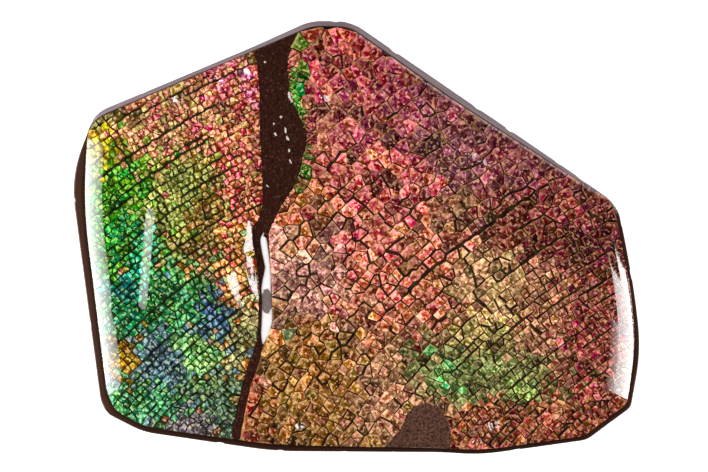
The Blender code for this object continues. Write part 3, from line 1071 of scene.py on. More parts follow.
# Two sides that meet flatter than this have no clear crossing point
FLAT_TURN = 0.25
LONGEST_MITRE = 2.2
LONGEST_SHARE = 0.6
SHRUNK_SHARE = 0.22
HEART_SHIFT = 0.18
ON_RIM = 0.9995
# A facet's brightness: the mean, what the painted shade of the tile's lit side adds, and
# what chance adds
FACET_MEAN, FACET_PAINTED_SHADE, FACET_CHANCE = 0.62, 0.26, 0.16
LOWEST_FACET = 0.25
PAINTED_LIGHT_SIDE = 125.0
PAINTED_LIGHT_SPREAD = 75
TILE, CRACK, OUTER_EDGE, UNDERSIDE = 0.0, 1.0, 2.0, 3.0


def turns_left(ring, heart):
    """Whether a fan round the heart of a ring has no face that is folded over."""
    turns = np.roll(ring, -1, axis=0) - ring
    gap = heart - ring
    return (turns[:, 0] * gap[:, 1] - turns[:, 1] * gap[:, 0]).min() > 1e-3


def inner_outline(points, half_widths):
    """A tile's outline moved in by half of each crack's width."""
    middle = points.mean(0)
    run = np.roll(points, -1, axis=0) - points
    run /= np.linalg.norm(run, axis=1, keepdims=True)
    inward = np.stack([-run[:, 1], run[:, 0]], axis=1)
    moved = np.empty_like(points)
    for k in range(len(points)):
        a, b = inward[k - 1], inward[k]
        wa, wb = half_widths[k - 1], half_widths[k]
        det = a[0] * b[1] - a[1] * b[0]
        if abs(det) > FLAT_TURN:
            step = np.array((wa * b[1] - wb * a[1], wb * a[0] - wa * b[0])) / det
        else:
            step = (a + b) / 2 * max(wa, wb)
        longest = min(
            LONGEST_MITRE * max(wa, wb), LONGEST_SHARE * np.linalg.norm(middle - points[k]))
        length = np.linalg.norm(step)
        moved[k] = points[k] + step * min(1, longest / length)
    if not turns_left(moved, middle):
        moved = points + (middle - points) * SHRUNK_SHARE
    return moved


def build_sheet(name, corners, tiles, widths, colours, seed):
    chance = np.random.default_rng(seed)
    used = sorted({corner for tile in tiles for corner in tile})
    number_of = {corner: i for i, corner in enumerate(used)}
    flat = corners[used]
    count = len(used)
    sink = np.zeros(count)
    at_edge = np.zeros(count, dtype=bool)
    for tile in tiles:
        for here, after in zip(tile, tile[1:] + tile[:1]):
            ends = [number_of[here], number_of[after]]
            width = widths.get(side_of(here, after))
            if width is None:
                at_edge[ends] = True
            else:
                sink[ends] = np.maximum(sink[ends], min(width * CRACK_SINK, CRACK_DEEPEST))
    sink[at_edge] = 0.0
    height = face_height(*flat.T)
    low = height - SHEET_THICKNESS
    reach = np.hypot(*flat.T)
    flare = wall_reach(np.arctan2(flat[:, 1], flat[:, 0]), low) / reach
    flare[(rim_share(*flat.T) < ON_RIM) | ~at_edge] = 1.0
    spots = [
        np.column_stack([flat, height - sink]),
        np.column_stack([flat * flare[:, None], low])]
    hearts = [np.zeros(2 * count)]
    total = 2 * count
    faces, looks = [], []
    for number, tile in enumerate(tiles):
        if not tile:
            continue
        ring = [number_of[corner] for corner in tile]
        sides = [side_of(here, after) for here, after in zip(tile, tile[1:] + tile[:1])]
        points = flat[ring]
        inner = inner_outline(points, [widths.get(side, EDGE_STRIP) for side in sides])
        middle = inner.mean(0)
        shift = chance.uniform(-HEART_SHIFT, HEART_SHIFT, size=2)
        heart = middle + shift * np.ptp(inner, axis=0)
        if not turns_left(inner, heart):
            heart = middle
        n = len(ring)
        spots.append(np.column_stack([inner, face_height(*inner.T)]))
        spots.append(np.array([[*heart, face_height(*heart)]]))
        hearts.append(np.append(np.zeros(n), 1.0))
        first, last = total, total + n
        total += n + 1
        value = chance.uniform()
        # Painted shade: the facets that face the painted light side, turned by chance, are lighter
        outward = (inner + np.roll(inner, -1, axis=0)) / 2 - middle
        painted_light_side = math.radians(PAINTED_LIGHT_SIDE + chance.uniform(-PAINTED_LIGHT_SPREAD, PAINTED_LIGHT_SPREAD))
        lit = np.cos(np.arctan2(outward[:, 1], outward[:, 0]) - painted_light_side)
        by_chance = chance.uniform(-FACET_CHANCE, FACET_CHANCE, size=n)
        facets = np.clip(FACET_MEAN + FACET_PAINTED_SHADE * lit + by_chance, LOWEST_FACET, 1.0)
        for k in range(n):
            after = (k + 1) % n
            outside = sides[k] not in widths
            faces.append((ring[k], ring[after], first + after, first + k))
            looks.append((number, TILE if outside else CRACK, facets[k], value))
            faces.append((first + k, first + after, last))
            looks.append((number, TILE, facets[k], value))
            if outside:
                faces.append((ring[after], ring[k], ring[k] + count, ring[after] + count))
                looks.append((number, OUTER_EDGE, facets[k], value))
        faces.append(tuple(corner + count for corner in reversed(ring)))
        looks.append((number, UNDERSIDE, 0.5, value))
    spots = np.concatenate(spots)
    is_top = np.ones(len(spots))
    is_top[count:2 * count] = 0.0
    sinks = np.zeros(len(spots))
    sinks[:count] = sink
    made = object_in(name, spots, faces)
    looks = np.array(looks)
    colour = np.column_stack([colours[looks[:, 0].astype(int)], np.ones(len(looks))])
    face_attribute(made.data, "tile_colour", "FLOAT_COLOR", colour)
    for column, label in enumerate(("crack", "facet", "tile_chance"), start=1):
        face_attribute(made.data, label, "FLOAT", looks[:, column])
    point_attribute(made.data, "heart", np.concatenate(hearts))
    refine_top(made.data, is_top, sinks)
    return made


sheet_left = build_sheet(
    "sheet_left", left_corners, left_tiles, left_widths, left_colours, 31)
sheet_right = build_sheet(
    "sheet_right", right_corners, right_tiles, right_widths, right_colours, 32)
for sheet in (sheet_left, sheet_right):
    print(sheet.name, len(sheet.data.polygons), "faces")

# %% [markdown]
# ## The stone
#
# The stone is one closed solid. Its top is the face's own formula: flush with the polish
# where the stone is bare, and one sheet's thickness lower where shell lies on it. The step
# between the two levels hides inside the sheets. The rim is a ring of points that the top,
# the wall and the back share.
#
# The wall was ground on a coarse wheel. It shows thin bedding lines, because the mud
# settled in layers, and small chips where the lower edge was knocked. Everything is
# taken away from the wall and nothing is added, so the stone stays inside its solid.
#
# Only the bare stone and the seam's flanks need small faces. The top is therefore filled
# with loose points that lie close together there and far apart under the shell.

# %% Stone levels
BARE_DROP = 0.03
COVERED_DROP = 0.77
CLEAN_REACH = 0.3
BROKEN_REACH = 0.85
RAMP = 0.2
FINE_STEP = 0.22
COARSE_STEP = 1.3
FLANK_STEP = 0.13
RIM_STEP = 0.33
RIM_INSET = 0.02
WALL_RINGS = 26
WALL_BUNCHING = 0.9
EDGE_EASE = 0.22
BACK_STEP = 0.6


def under_sheet(points):
    """How far a place lies under a sheet, past the hidden edge of the bare stone."""
    left, right = seam_edges(points[:, 1])
    right_reach = np.where(points[:, 1] > CLEAN_BELOW, BROKEN_REACH, CLEAN_REACH)
    seam = np.maximum(left - points[:, 0] - CLEAN_REACH, points[:, 0] - right - right_reach)
    gap = nearest_on(closed_bay, points)[1]
    bay = np.where(inside(points, BAY), -gap, gap) - BROKEN_REACH
    return np.minimum(seam, bay)


def stone_top(points):
    rise = smooth_step(under_sheet(points) / RAMP)
    return face_height(*points.T) - BARE_DROP - (COVERED_DROP - BARE_DROP) * rise


def grid_points(step, seed):
    chance = np.random.default_rng(seed)
    xs, ys = np.meshgrid(np.arange(-33, 33, step), np.arange(-25, 25, step))
    spots = np.stack([xs.ravel(), ys.ravel()], axis=1)
    return spots + chance.uniform(-0.2, 0.2, size=spots.shape) * step


def even_ring(ring, step):
    line = closed(ring)
    walked = walked_along(line)
    at = np.linspace(0, walked[-1], int(walked[-1] / step), endpoint=False)
    return np.stack([np.interp(at, walked, line[:, 0]), np.interp(at, walked, line[:, 1])], 1)


def fill(ring, spots):
    """Triangles over a ring with loose points inside it, numbered ring first."""
    points = np.concatenate([ring, spots])
    found = geometry.delaunay_2d_cdt(
        [Vector(p) for p in points], [], [list(range(len(ring)))], 1, 1e-6)
    numbers = [originals[0] for originals in found[3]]
    return [tuple(numbers[v] for v in face) for face in found[2]]


# The bedding lines of the wall: height and depth
BEDS = ((1.1, 0.05), (2.3, 0.07), (2.75, 0.035), (3.9, 0.06), (5.2, 0.04))
BED_TILT = (0.035, 0.02)
BED_HALF_WIDTH = 0.09
GRINDING = 0.02
CHIP_FROM, CHIP_DEPTH, CHIP_HEIGHT = 0.42, 0.9, 0.9
PIT_FROM, PIT_DEPTH = 0.62, 0.3


def wall_wear(angle, z, reach):
    """How much is gone from the wall at a place: grinding, bedding lines, chips and pits."""
    x, y = math.cos(angle) * reach, math.sin(angle) * reach
    grinding = GRINDING * (1 + noise.noise((x / 6, y / 6, z / 2)))
    tilted = z + BED_TILT[0] * x - BED_TILT[1] * y
    bedding = 0.0
    for level, depth in BEDS:
        wavy = level + 0.12 * noise.noise((x / 4, y / 4, level))
        bedding += depth * math.exp(-((tilted - wavy) / BED_HALF_WIDTH) ** 2)
    chip = max(0.0, noise.noise((x / 1.4, y / 1.4, z / 2.2 + 7.3)) - CHIP_FROM)
    low = math.exp(-(z / CHIP_HEIGHT) ** 2)
    pit = max(0.0, noise.noise((x / 0.5, y / 0.5, z / 0.5)) - PIT_FROM)
    return grinding + bedding + chip * CHIP_DEPTH * low + pit * PIT_DEPTH


print("the bare stone lies", BARE_DROP, "mm below the polish and", COVERED_DROP, "under the shell")

# %% [markdown]
# ## Painted glints
#
# A few small glints in the seam are painted in as pale spots, polished with the rest:
# painted highlights. They are only another colour, so they are ellipses of faces that
# carry a mark, and the faces near them are small enough to give each one a fairly smooth
# outline.
#
# The points of the top come in four grids, from the finest at the painted glints to the
# coarsest under the shell, and each finer grid takes the place of the coarser one where it
# lies.

# %% Points on the top
PAINTED_GLINT_STEP = 0.1
PAINTED_GLINT_REACH = 0.8
# Painted glints in the seam, pale spots of colour: picture place, half length and half
# width in pixels, turn
PAINTED_GLINTS = [
    (290.5, 97.0, 5.6, 2.0, 110),
    (281.0, 117.0, 1.3, 1.1, 0),
    (285.6, 130.5, 3.0, 0.9, 100),
    (287.6, 138.5, 2.4, 1.1, 115),
    (275.5, 134.5, 1.9, 1.0, 120),
    (289.0, 150.5, 1.6, 1.0, 100),
    (290.4, 161.5, 2.2, 0.9, 115),
    (265.0, 62.0, 1.1, 0.9, 0),
    (274.0, 124.0, 0.9, 0.9, 0),
    (267.5, 186.0, 1.4, 0.8, 120),
]
painted_glint_spots = np.array([from_picture(*grain_and_painted_glints[:2]) for grain_and_painted_glints in PAINTED_GLINTS])
FLANK_RIGHT, FLANK_MIDDLE, FLANK_REACH = -8.8, -6, 7
OPEN_SHARE, COVERED_SHARE = 0.992, 0.97
OPEN_UNDER, COVERED_UNDER = RAMP * 2, RAMP * 2.5


def near_flank(points):
    return (points[:, 0] < FLANK_RIGHT) & (np.abs(points[:, 1] - FLANK_MIDDLE) < FLANK_REACH)


def near_painted_glint(points):
    gaps = [np.hypot(*(painted_glint_spots - spot).T).min() for spot in points]
    return np.array(gaps) < PAINTED_GLINT_REACH


open_grid = grid_points(FINE_STEP, 51)
open_grid = open_grid[rim_share(*open_grid.T) < OPEN_SHARE]
open_grid = open_grid[under_sheet(open_grid) < OPEN_UNDER]
for step, seed, near in ((FLANK_STEP, 54, near_flank), (PAINTED_GLINT_STEP, 55, near_painted_glint)):
    finer = grid_points(step, seed)
    finer = finer[near(finer)]
    finer = finer[under_sheet(finer) < OPEN_UNDER]
    open_grid = np.concatenate([open_grid[~near(open_grid)], finer])
covered_grid = grid_points(COARSE_STEP, 52)
covered_grid = covered_grid[rim_share(*covered_grid.T) < COVERED_SHARE]
covered_grid = covered_grid[under_sheet(covered_grid) > COVERED_UNDER]
loose = np.concatenate([open_grid, covered_grid])
rim = even_ring(face_ring, RIM_STEP)
top_triangles = fill(rim, loose)
print("points on the top:", len(open_grid), "bare,", len(covered_grid), "covered")

# %% [markdown]
# ## Wall and back
#
# The wall is a stack of rings that all have the rim's number of points, so two rings make
# a band of four-sided faces. Each ring stands where the leaning wall is at its height, less
# the wear there. The lowest ring steps in to make an eased edge.
#
# The back is sawn. The blade turned about a far centre and left shallow ledges as arcs.

# %% Rings of the wall and points of the back
SAW_CENTRE = (40, -95)
SAW_PITCH = 7.4
SAW_DEPTH = 0.03
SAWN_SHARE = 0.95
BACK_SHARE = 0.985
count = len(rim)
rim_angle = np.arctan2(rim[:, 1], rim[:, 0])
rim_top = stone_top(rim)
wall_levels = 1 - np.linspace(0, 1, WALL_RINGS) ** WALL_BUNCHING
wall_spots, wall_radii = [], []
for k, level in enumerate(wall_levels):
    z = EDGE_EASE + (rim_top - EDGE_EASE) * level
    radius = wall_reach(rim_angle, z) - RIM_INSET
    if k > 0:
        wear = [wall_wear(a, h, r) for a, h, r in zip(rim_angle, z, radius)]
        radius = radius - np.array(wear) * min(1, k / 2)
    wall_radii.append(radius)
    wall_spots.append(np.column_stack(
        [np.cos(rim_angle) * radius, np.sin(rim_angle) * radius, z]))
foot_radius = wall_radii[-1] - EDGE_EASE
foot = np.column_stack([np.cos(rim_angle) * foot_radius, np.sin(rim_angle) * foot_radius])
wall_spots.append(np.column_stack([foot, np.zeros(count)]))
back_grid = grid_points(BACK_STEP, 53)
back_share = np.hypot(*back_grid.T) / np.interp(
    np.arctan2(back_grid[:, 1], back_grid[:, 0]), np.sort(rim_angle),
    foot_radius[np.argsort(rim_angle)], period=2 * math.pi)
inner_back = back_share < BACK_SHARE
back_grid = back_grid[inner_back]
back_triangles = fill(foot, back_grid)
blade = np.hypot(back_grid[:, 0] - SAW_CENTRE[0], back_grid[:, 1] - SAW_CENTRE[1])
saw_ledge = SAW_DEPTH * smooth_step(np.mod(blade, SAW_PITCH) / SAW_PITCH)
saw_ledge = saw_ledge * (back_share[inner_back] < SAWN_SHARE)
print("wall:", len(wall_spots), "rings of", count, "points; back:", len(back_grid), "points")

# %% [markdown]
# ## One closed stone
#
# Wall, top and back are put together from shared points. The polish takes its direction
# from the height formula, the wall from its neighbours, and the back stays flat.

# %% Stone mesh
PART_WALL, PART_FACE, PART_BACK = 0.0, 1.0, 2.0
# Painted light: the wall takes a pale sheen where its outline faces up in the picture
PAINTED_SHEEN_FROM, PAINTED_SHEEN_RUN = 0.2, 0.3
stone_spots = np.concatenate([
    *wall_spots,
    np.column_stack([loose, stone_top(loose)]),
    np.column_stack([back_grid, saw_ledge]),
])
stone_faces = []
rings = len(wall_spots)
loose_start = rings * count
for k in range(rings - 1):
    for i in range(count):
        after = (i + 1) % count
        stone_faces.append((
            k * count + i, (k + 1) * count + i, (k + 1) * count + after, k * count + after))
wall_face_count = len(stone_faces)
for triangle in top_triangles:
    stone_faces.append(tuple(v if v < count else v - count + loose_start for v in triangle))
foot_start, back_start = (rings - 1) * count, loose_start + len(loose)
for triangle in back_triangles:
    stone_faces.append(tuple(
        v + foot_start if v < count else v - count + back_start for v in reversed(triangle)))

lattice = np.array(wall_spots)
round_step = np.roll(lattice, -1, axis=1) - np.roll(lattice, 1, axis=1)
down_step = np.gradient(lattice, axis=0)
wall_normals = np.cross(down_step, round_step)
wall_normals /= np.linalg.norm(wall_normals, axis=2, keepdims=True)
stone_normals = np.zeros_like(stone_spots)
stone_normals[:loose_start] = wall_normals.reshape(-1, 3)
bare = np.flatnonzero(under_sheet(loose) <= 0) + loose_start
stone_normals[bare] = face_direction(*stone_spots[bare, :2].T)
stone = object_in("stone", stone_spots, stone_faces)
set_normals(stone.data, stone_normals)
run = np.roll(rim, -1, axis=0) - np.roll(rim, 1, axis=0)
facing_up = run[:, 0] / np.linalg.norm(run, axis=1)
wall_painted_sheen = np.tile(smooth_step((facing_up - PAINTED_SHEEN_FROM) / PAINTED_SHEEN_RUN), rings - 1)
part_of = np.concatenate([
    np.full(wall_face_count, PART_WALL), np.full(len(top_triangles), PART_FACE),
    np.full(len(back_triangles), PART_BACK)])
face_middles = np.array([stone_spots[list(face), :2].mean(0) for face in stone_faces])
# Faces inside a painted glint's ellipse get the mark
painted_glint_mask = np.zeros(len(stone_faces))
for (x, y), (column, row, long, wide, turn) in zip(painted_glint_spots, PAINTED_GLINTS):
    along, across = turned_offset(*face_middles.T, x, y, turn)
    u, v = along / (long * PIXEL), across / (wide * PIXEL)
    painted_glint_mask[(u * u + v * v < 1) & (part_of == PART_FACE)] = 1.0
painted_sheen_mask = np.concatenate([wall_painted_sheen, np.zeros(len(stone_faces) - wall_face_count)])
face_attribute(stone.data, "part", "FLOAT", part_of)
face_attribute(stone.data, "grain_and_painted_glints", "FLOAT", painted_glint_mask)
face_attribute(stone.data, "painted_sheen", "FLOAT", painted_sheen_mask)
print("stone:", len(stone.data.polygons), "faces, of which pale grains:", int(painted_glint_mask.sum()))

# %% [markdown]
# ## Node helpers
#
# The materials below are node trees. A few small functions keep them readable: one makes
# a node group with named inputs and outputs, one adds a node and connects what it is
# given, and the others add the nodes that come up most: maths, a ramp between two numbers,
# a blend of two colours, a value that the mesh carries, and the place in millimetres.

# %% Node helpers
SOCKETS = {"color": "NodeSocketColor", "value": "NodeSocketFloat", "vector": "NodeSocketVector"}


def new_group(name, inputs, outputs):
    """A node group with its two end nodes. Inputs are (name, kind, default)."""
    tree = bpy.data.node_groups.new(name, "ShaderNodeTree")
    for label, kind, default in inputs:
        socket = tree.interface.new_socket(label, in_out="INPUT", socket_type=SOCKETS[kind])
        socket.default_value = default
    for label, kind in outputs:
        tree.interface.new_socket(label, in_out="OUTPUT", socket_type=SOCKETS[kind])
    return tree, tree.nodes.new("NodeGroupInput").outputs, tree.nodes.new("NodeGroupOutput").inputs


def add(tree, kind, inputs=None, **settings):
    """Adds a node. An input is a value or another node's output, by name or number."""
    node = tree.nodes.new(kind)
    for key, value in settings.items():
        setattr(node, key, value)
    for key, value in (inputs or {}).items():
        if isinstance(value, bpy.types.NodeSocket):
            tree.links.new(value, node.inputs[key])
        else:
            node.inputs[key].default_value = value
    return node


def maths(tree, operation, first, second=0.0, clamp=False):
    made = add(tree, "ShaderNodeMath", {0: first, 1: second}, operation=operation)
    made.use_clamp = clamp
    return made.outputs[0]


def ramp(tree, value, low, high, start=0.0, end=1.0):
    made = add(tree, "ShaderNodeMapRange", {
        "Value": value, "From Min": low, "From Max": high, "To Min": start, "To Max": end})
    return made.outputs["Result"]


def blend(tree, factor, first, second, blend_type="MIX"):
    made = add(tree, "ShaderNodeMix", data_type="RGBA", blend_type=blend_type)
    for number, value in ((0, factor), (6, first), (7, second)):
        if isinstance(value, bpy.types.NodeSocket):
            tree.links.new(value, made.inputs[number])
        else:
            made.inputs[number].default_value = value
    return made.outputs[2]


def attribute(tree, name, output="Fac"):
    return add(tree, "ShaderNodeAttribute", attribute_name=name).outputs[output]


def place_in_mm(tree):
    spot = add(tree, "ShaderNodeTexCoord").outputs["Object"]
    grown = add(tree, "ShaderNodeVectorMath", {0: spot, 3: 1 / MM}, operation="SCALE")
    return grown.outputs[0]


def shade(colour, alpha=1.0):
    return (*linear(colour), alpha)


print("socket kinds:", ", ".join(SOCKETS))

# %% [markdown]
# ## Shell finish
#
# Under the clear polish each tile is a stack of broken layers, so it doesn't have one flat
# colour. It shows a few small facets, some nearly dark, some with a bright yellow or pink
# flash, a painted highlight where a layer would face the light. The group below starts
# from the tile's own colour, which the mesh carries, and makes it lighter and darker in
# three steps: facet by facet, with the facets' painted shade, from the tile's edge to its
# heart, which is painted light and shade too, and in small clouds of noise. Dark clouds
# keep a strong colour and light ones lose some, as light bouncing in the layers does. More
# clouds add near-black spots and flashes, the painted highlights. They are all shifted by
# a different amount on every tile, so that nothing runs on across a crack.
#
# The cracks take the stone's colour, stained green or brown in places, with a trace of the
# shell that they run through. The broken edges and the underside are painted dark brown in
# thin layers: painted shade that keeps the sheet's thin, strongly lit side dark.
#
# Both sheets use the one group. The left one has painted light on the hearts of its tiles
# and painted shade on their edges. The right one, whose tiles are larger and flatter, has
# painted shade on the hearts and light copper edges, a painted highlight.

# %% Shell group
GLINT_SIZE = 0.42
CLOUD_SIZE = 0.6
TINT_OF_SHELL = 0.035
# A tile's clouds and glints are moved by its chance value times this
TILE_SHIFT = (71.0, 133.0)
FLASH_TOP = 0.78
FLASH_EASE = 0.1


def build_shell_group():
    inputs = [
        ("Tile colour", "color", (0.5, 0.2, 0.1, 1.0)),
        ("Crack colour", "color", (0.03, 0.02, 0.01, 1.0)),
        ("Stain colour", "color", (0.03, 0.04, 0.01, 1.0)),
        ("Rim colour", "color", (0.3, 0.25, 0.05, 1.0)),
        ("Rim strength", "value", 0.3),
        ("Flash colour", "color", (0.9, 0.8, 0.3, 1.0)),
        ("Flash share", "value", 0.3),
        ("Dark share", "value", 0.4),
        ("Edge light", "value", 1.0),
        ("Heart light", "value", 1.0),
    ]
    tree, given, out = new_group(
        "Crushed shell", inputs, [("Color", "color"), ("Gloss", "value")])
    chance_value = attribute(tree, "tile_chance")
    facet = attribute(tree, "facet")
    crack = attribute(tree, "crack")
    heart = attribute(tree, "heart")
    shift = add(tree, "ShaderNodeCombineXYZ", {
        0: maths(tree, "MULTIPLY", chance_value, TILE_SHIFT[0]),
        1: maths(tree, "MULTIPLY", chance_value, TILE_SHIFT[1])}).outputs[0]
    spot = add(tree, "ShaderNodeVectorMath", {0: place_in_mm(tree), 1: shift},
               operation="ADD").outputs[0]
    clouds = add(tree, "ShaderNodeTexNoise", {
        "Vector": spot, "Scale": 1 / CLOUD_SIZE, "Detail": 2.0, "Roughness": 0.6},
        noise_dimensions="2D")
    parts = add(tree, "ShaderNodeSeparateColor", {0: clouds.outputs["Color"]}).outputs
    # The facets carry the painted shade of each tile's lit side
    light = maths(tree, "MULTIPLY", ramp(tree, parts[0], 0.3, 0.7, 0.3, 1.7),
                  ramp(tree, facet, LOWEST_FACET, 1, 0.4, 1.5))
    # Painted light and shade from the tile's edge to its heart
    light = maths(tree, "MULTIPLY", light, ramp(
        tree, heart, 0.0, 0.8, given["Edge light"], given["Heart light"]))
    tinted = add(tree, "ShaderNodeHueSaturation", {
        "Hue": ramp(tree, parts[1], 0.3, 0.7, 0.472, 0.528),
        "Saturation": ramp(tree, light, 0.3, 1.6, 1.35, 0.98),
        "Value": light, "Color": given["Tile colour"]}).outputs[0]
    deep = maths(
        tree, "MULTIPLY", ramp(tree, parts[2], 0.30, 0.42, 1.0, 0.0), given["Dark share"])
    colour = blend(tree, deep, tinted, given["Crack colour"])
    # The flashes are painted highlights: bright spots of noise mixed into the colour
    glints = add(tree, "ShaderNodeTexNoise", {
        "Vector": spot, "Scale": 1 / GLINT_SIZE, "Detail": 1.0}, noise_dimensions="2D")
    start = maths(tree, "SUBTRACT", FLASH_TOP, given["Flash share"])
    flash = add(tree, "ShaderNodeMapRange", {
        "Value": glints.outputs[0], "From Min": start,
        "From Max": maths(tree, "ADD", start, FLASH_EASE), "To Max": 0.9}).outputs[0]
    bright = blend(tree, 1.0, given["Tile colour"], (2.4, 2.4, 2.4, 1), "MULTIPLY")
    colour = blend(tree, flash, colour, blend(tree, 0.3, bright, given["Flash colour"]))
    # The rim colour along the edges of the lit facets: on the right sheet a painted copper
    # highlight, on the left a dull olive line
    rim_edge = maths(tree, "MULTIPLY", ramp(tree, heart, 0.02, 0.26, 1.0, 0.0),
                     ramp(tree, facet, 0.55, 0.9))
    colour = blend(tree, maths(tree, "MULTIPLY", rim_edge, given["Rim strength"]), colour,
                   given["Rim colour"])
    stain = add(tree, "ShaderNodeTexNoise", {
        "Vector": place_in_mm(tree), "Scale": 1.1, "Detail": 3.0})
    crack_colour = add(tree, "ShaderNodeHueSaturation", {
        "Value": ramp(tree, stain.outputs[0], 0.3, 0.7, 0.4, 1.6),
        "Color": given["Crack colour"]}).outputs[0]
    crack_colour = blend(tree, ramp(tree, stain.outputs[0], 0.5, 0.62, 0.0, 0.8),
                         crack_colour, given["Stain colour"])
    crack_colour = blend(tree, TINT_OF_SHELL, crack_colour, given["Tile colour"])
    colour = blend(tree, maths(tree, "COMPARE", crack, CRACK), colour, crack_colour)
    # Painted shade: the broken edges and the underside are kept dark brown
    layer_space = add(tree, "ShaderNodeVectorMath", {0: place_in_mm(tree), 1: (0.6, 0.6, 14.0)},
                      operation="MULTIPLY").outputs[0]
    layers = add(tree, "ShaderNodeTexNoise", {"Vector": layer_space, "Scale": 1.0, "Detail": 2.0})
    edge_shade_colour = blend(tree, layers.outputs[0], shade((16, 9, 7)), shade((58, 34, 26)))
    colour = blend(tree, maths(tree, "GREATER_THAN", crack, LAST_TOP_KIND), colour, edge_shade_colour)
    tree.links.new(colour, out["Color"])
    tree.links.new(maths(tree, "LESS_THAN", crack, LAST_TOP_KIND), out["Gloss"])
    return tree


shell_group = build_shell_group()
print("shell group:", len(shell_group.nodes), "nodes")

# %% Shell materials
SHELL_ROUGHNESS = 0.5
SHELL_GLOSS_ROUGHNESS = 0.04
SHELL_GLOSS_IOR = 1.62


def shell_material(name, settings):
    material = bpy.data.materials.new(name)
    material.use_nodes = True
    tree = material.node_tree
    finish = tree.nodes["Principled BSDF"]
    shell = add(tree, "ShaderNodeGroup", node_tree=shell_group)
    tree.links.new(attribute(tree, "tile_colour", "Color"), shell.inputs["Tile colour"])
    for label, value in settings.items():
        shell.inputs[label].default_value = value
    tree.links.new(shell.outputs["Color"], finish.inputs["Base Color"])
    finish.inputs["Roughness"].default_value = SHELL_ROUGHNESS
    finish.inputs["Specular IOR Level"].default_value = 0.0
    tree.links.new(shell.outputs["Gloss"], finish.inputs["Coat Weight"])
    finish.inputs["Coat Roughness"].default_value = SHELL_GLOSS_ROUGHNESS
    finish.inputs["Coat IOR"].default_value = SHELL_GLOSS_IOR
    return material


left_shell = shell_material("Ammolite, left", {
    "Crack colour": shade((16, 16, 6)),
    "Stain colour": shade((26, 44, 10)),
    "Rim colour": shade((70, 80, 20)),
    "Rim strength": 0.15,
    "Flash colour": shade((226, 232, 150)),
    "Flash share": 0.23,
    "Dark share": 0.6,
    "Edge light": 0.65,
    "Heart light": 1.3,
})
right_shell = shell_material("Ammolite, right", {
    "Crack colour": shade((26, 11, 5)),
    "Stain colour": shade((40, 42, 10)),
    "Rim colour": shade((214, 150, 84)),
    "Rim strength": 0.55,
    "Flash colour": shade((250, 206, 150)),
    "Flash share": 0.21,
    "Dark share": 0.8,
    "Edge light": 1.25,
    "Heart light": 0.8,
})
sheet_left.data.materials.append(left_shell)
sheet_right.data.materials.append(right_shell)
print("materials:", left_shell.name, "and", right_shell.name)

# %% [markdown]
# ## Stone finish
#
# Ironstone is a dark chocolate brown. Where it is bare on the face it has the same clear
# polish as the shell. The face has a faint grain along the seam, pale specks and the pale
# spots of the painted glints, and in the bay it is lighter. One short place on the seam's
# right flank is worn dull, so the white streak there breaks off and goes on.
#
# The wall is only ground smooth, so it is satin, with lighter and darker beds. It is
# painted lighter low down and darker towards its top, a painted shade under the shoulder,
# and a pale painted line of light runs at its foot. Where it faces up in the picture it
# has a painted pale grey sheen, painted light, but not in the last millimetre below the
# polish. The back keeps the dull look of the saw.
#
# One material does it all, because it is one stone: the mesh says which faces are wall,
# top and back, and each of the three has its own function for its colour.

# %% Stone colours
DULL_PLACE = (267.0, 301.0)
DULL_HALF = (0.66, 1.4)
DULL_COAT = 0.16
LAST_FACE_PART = 1.5


def scaled_noise(tree, spot, scale, detail, roughness=0.5):
    """Noise over a place that is first stretched by three numbers."""
    space = add(tree, "ShaderNodeVectorMath", {0: spot, 1: scale}, operation="MULTIPLY")
    return add(tree, "ShaderNodeTexNoise", {
        "Vector": space.outputs[0], "Scale": 1.0, "Detail": detail,
        "Roughness": roughness}).outputs[0]


def polished_stone_colour(tree, spot, specks):
    grain_and_painted_glints = scaled_noise(tree, spot, (7.0, 1.2, 1.0), 6.0, 0.7)
    in_seam = blend(tree, ramp(tree, grain_and_painted_glints, 0.3, 0.7), shade((16, 3, 1)), shade((60, 28, 17)))
    in_bay = blend(tree, ramp(tree, specks, 0.3, 0.72), shade((40, 15, 8)), shade((104, 73, 61)))
    x = add(tree, "ShaderNodeSeparateXYZ", {0: spot}).outputs[0]
    colour = blend(tree, ramp(tree, x, -2.0, 0.0), in_seam, in_bay)
    pale = ramp(tree, specks, 0.58, 0.72, 0.0, 0.35)
    colour = blend(tree, pale, colour, shade((122, 92, 78)))
    # Painted highlights: the marked faces of the painted glints take a pale colour
    return blend(tree, attribute(tree, "grain_and_painted_glints"), colour, shade((206, 196, 190)))


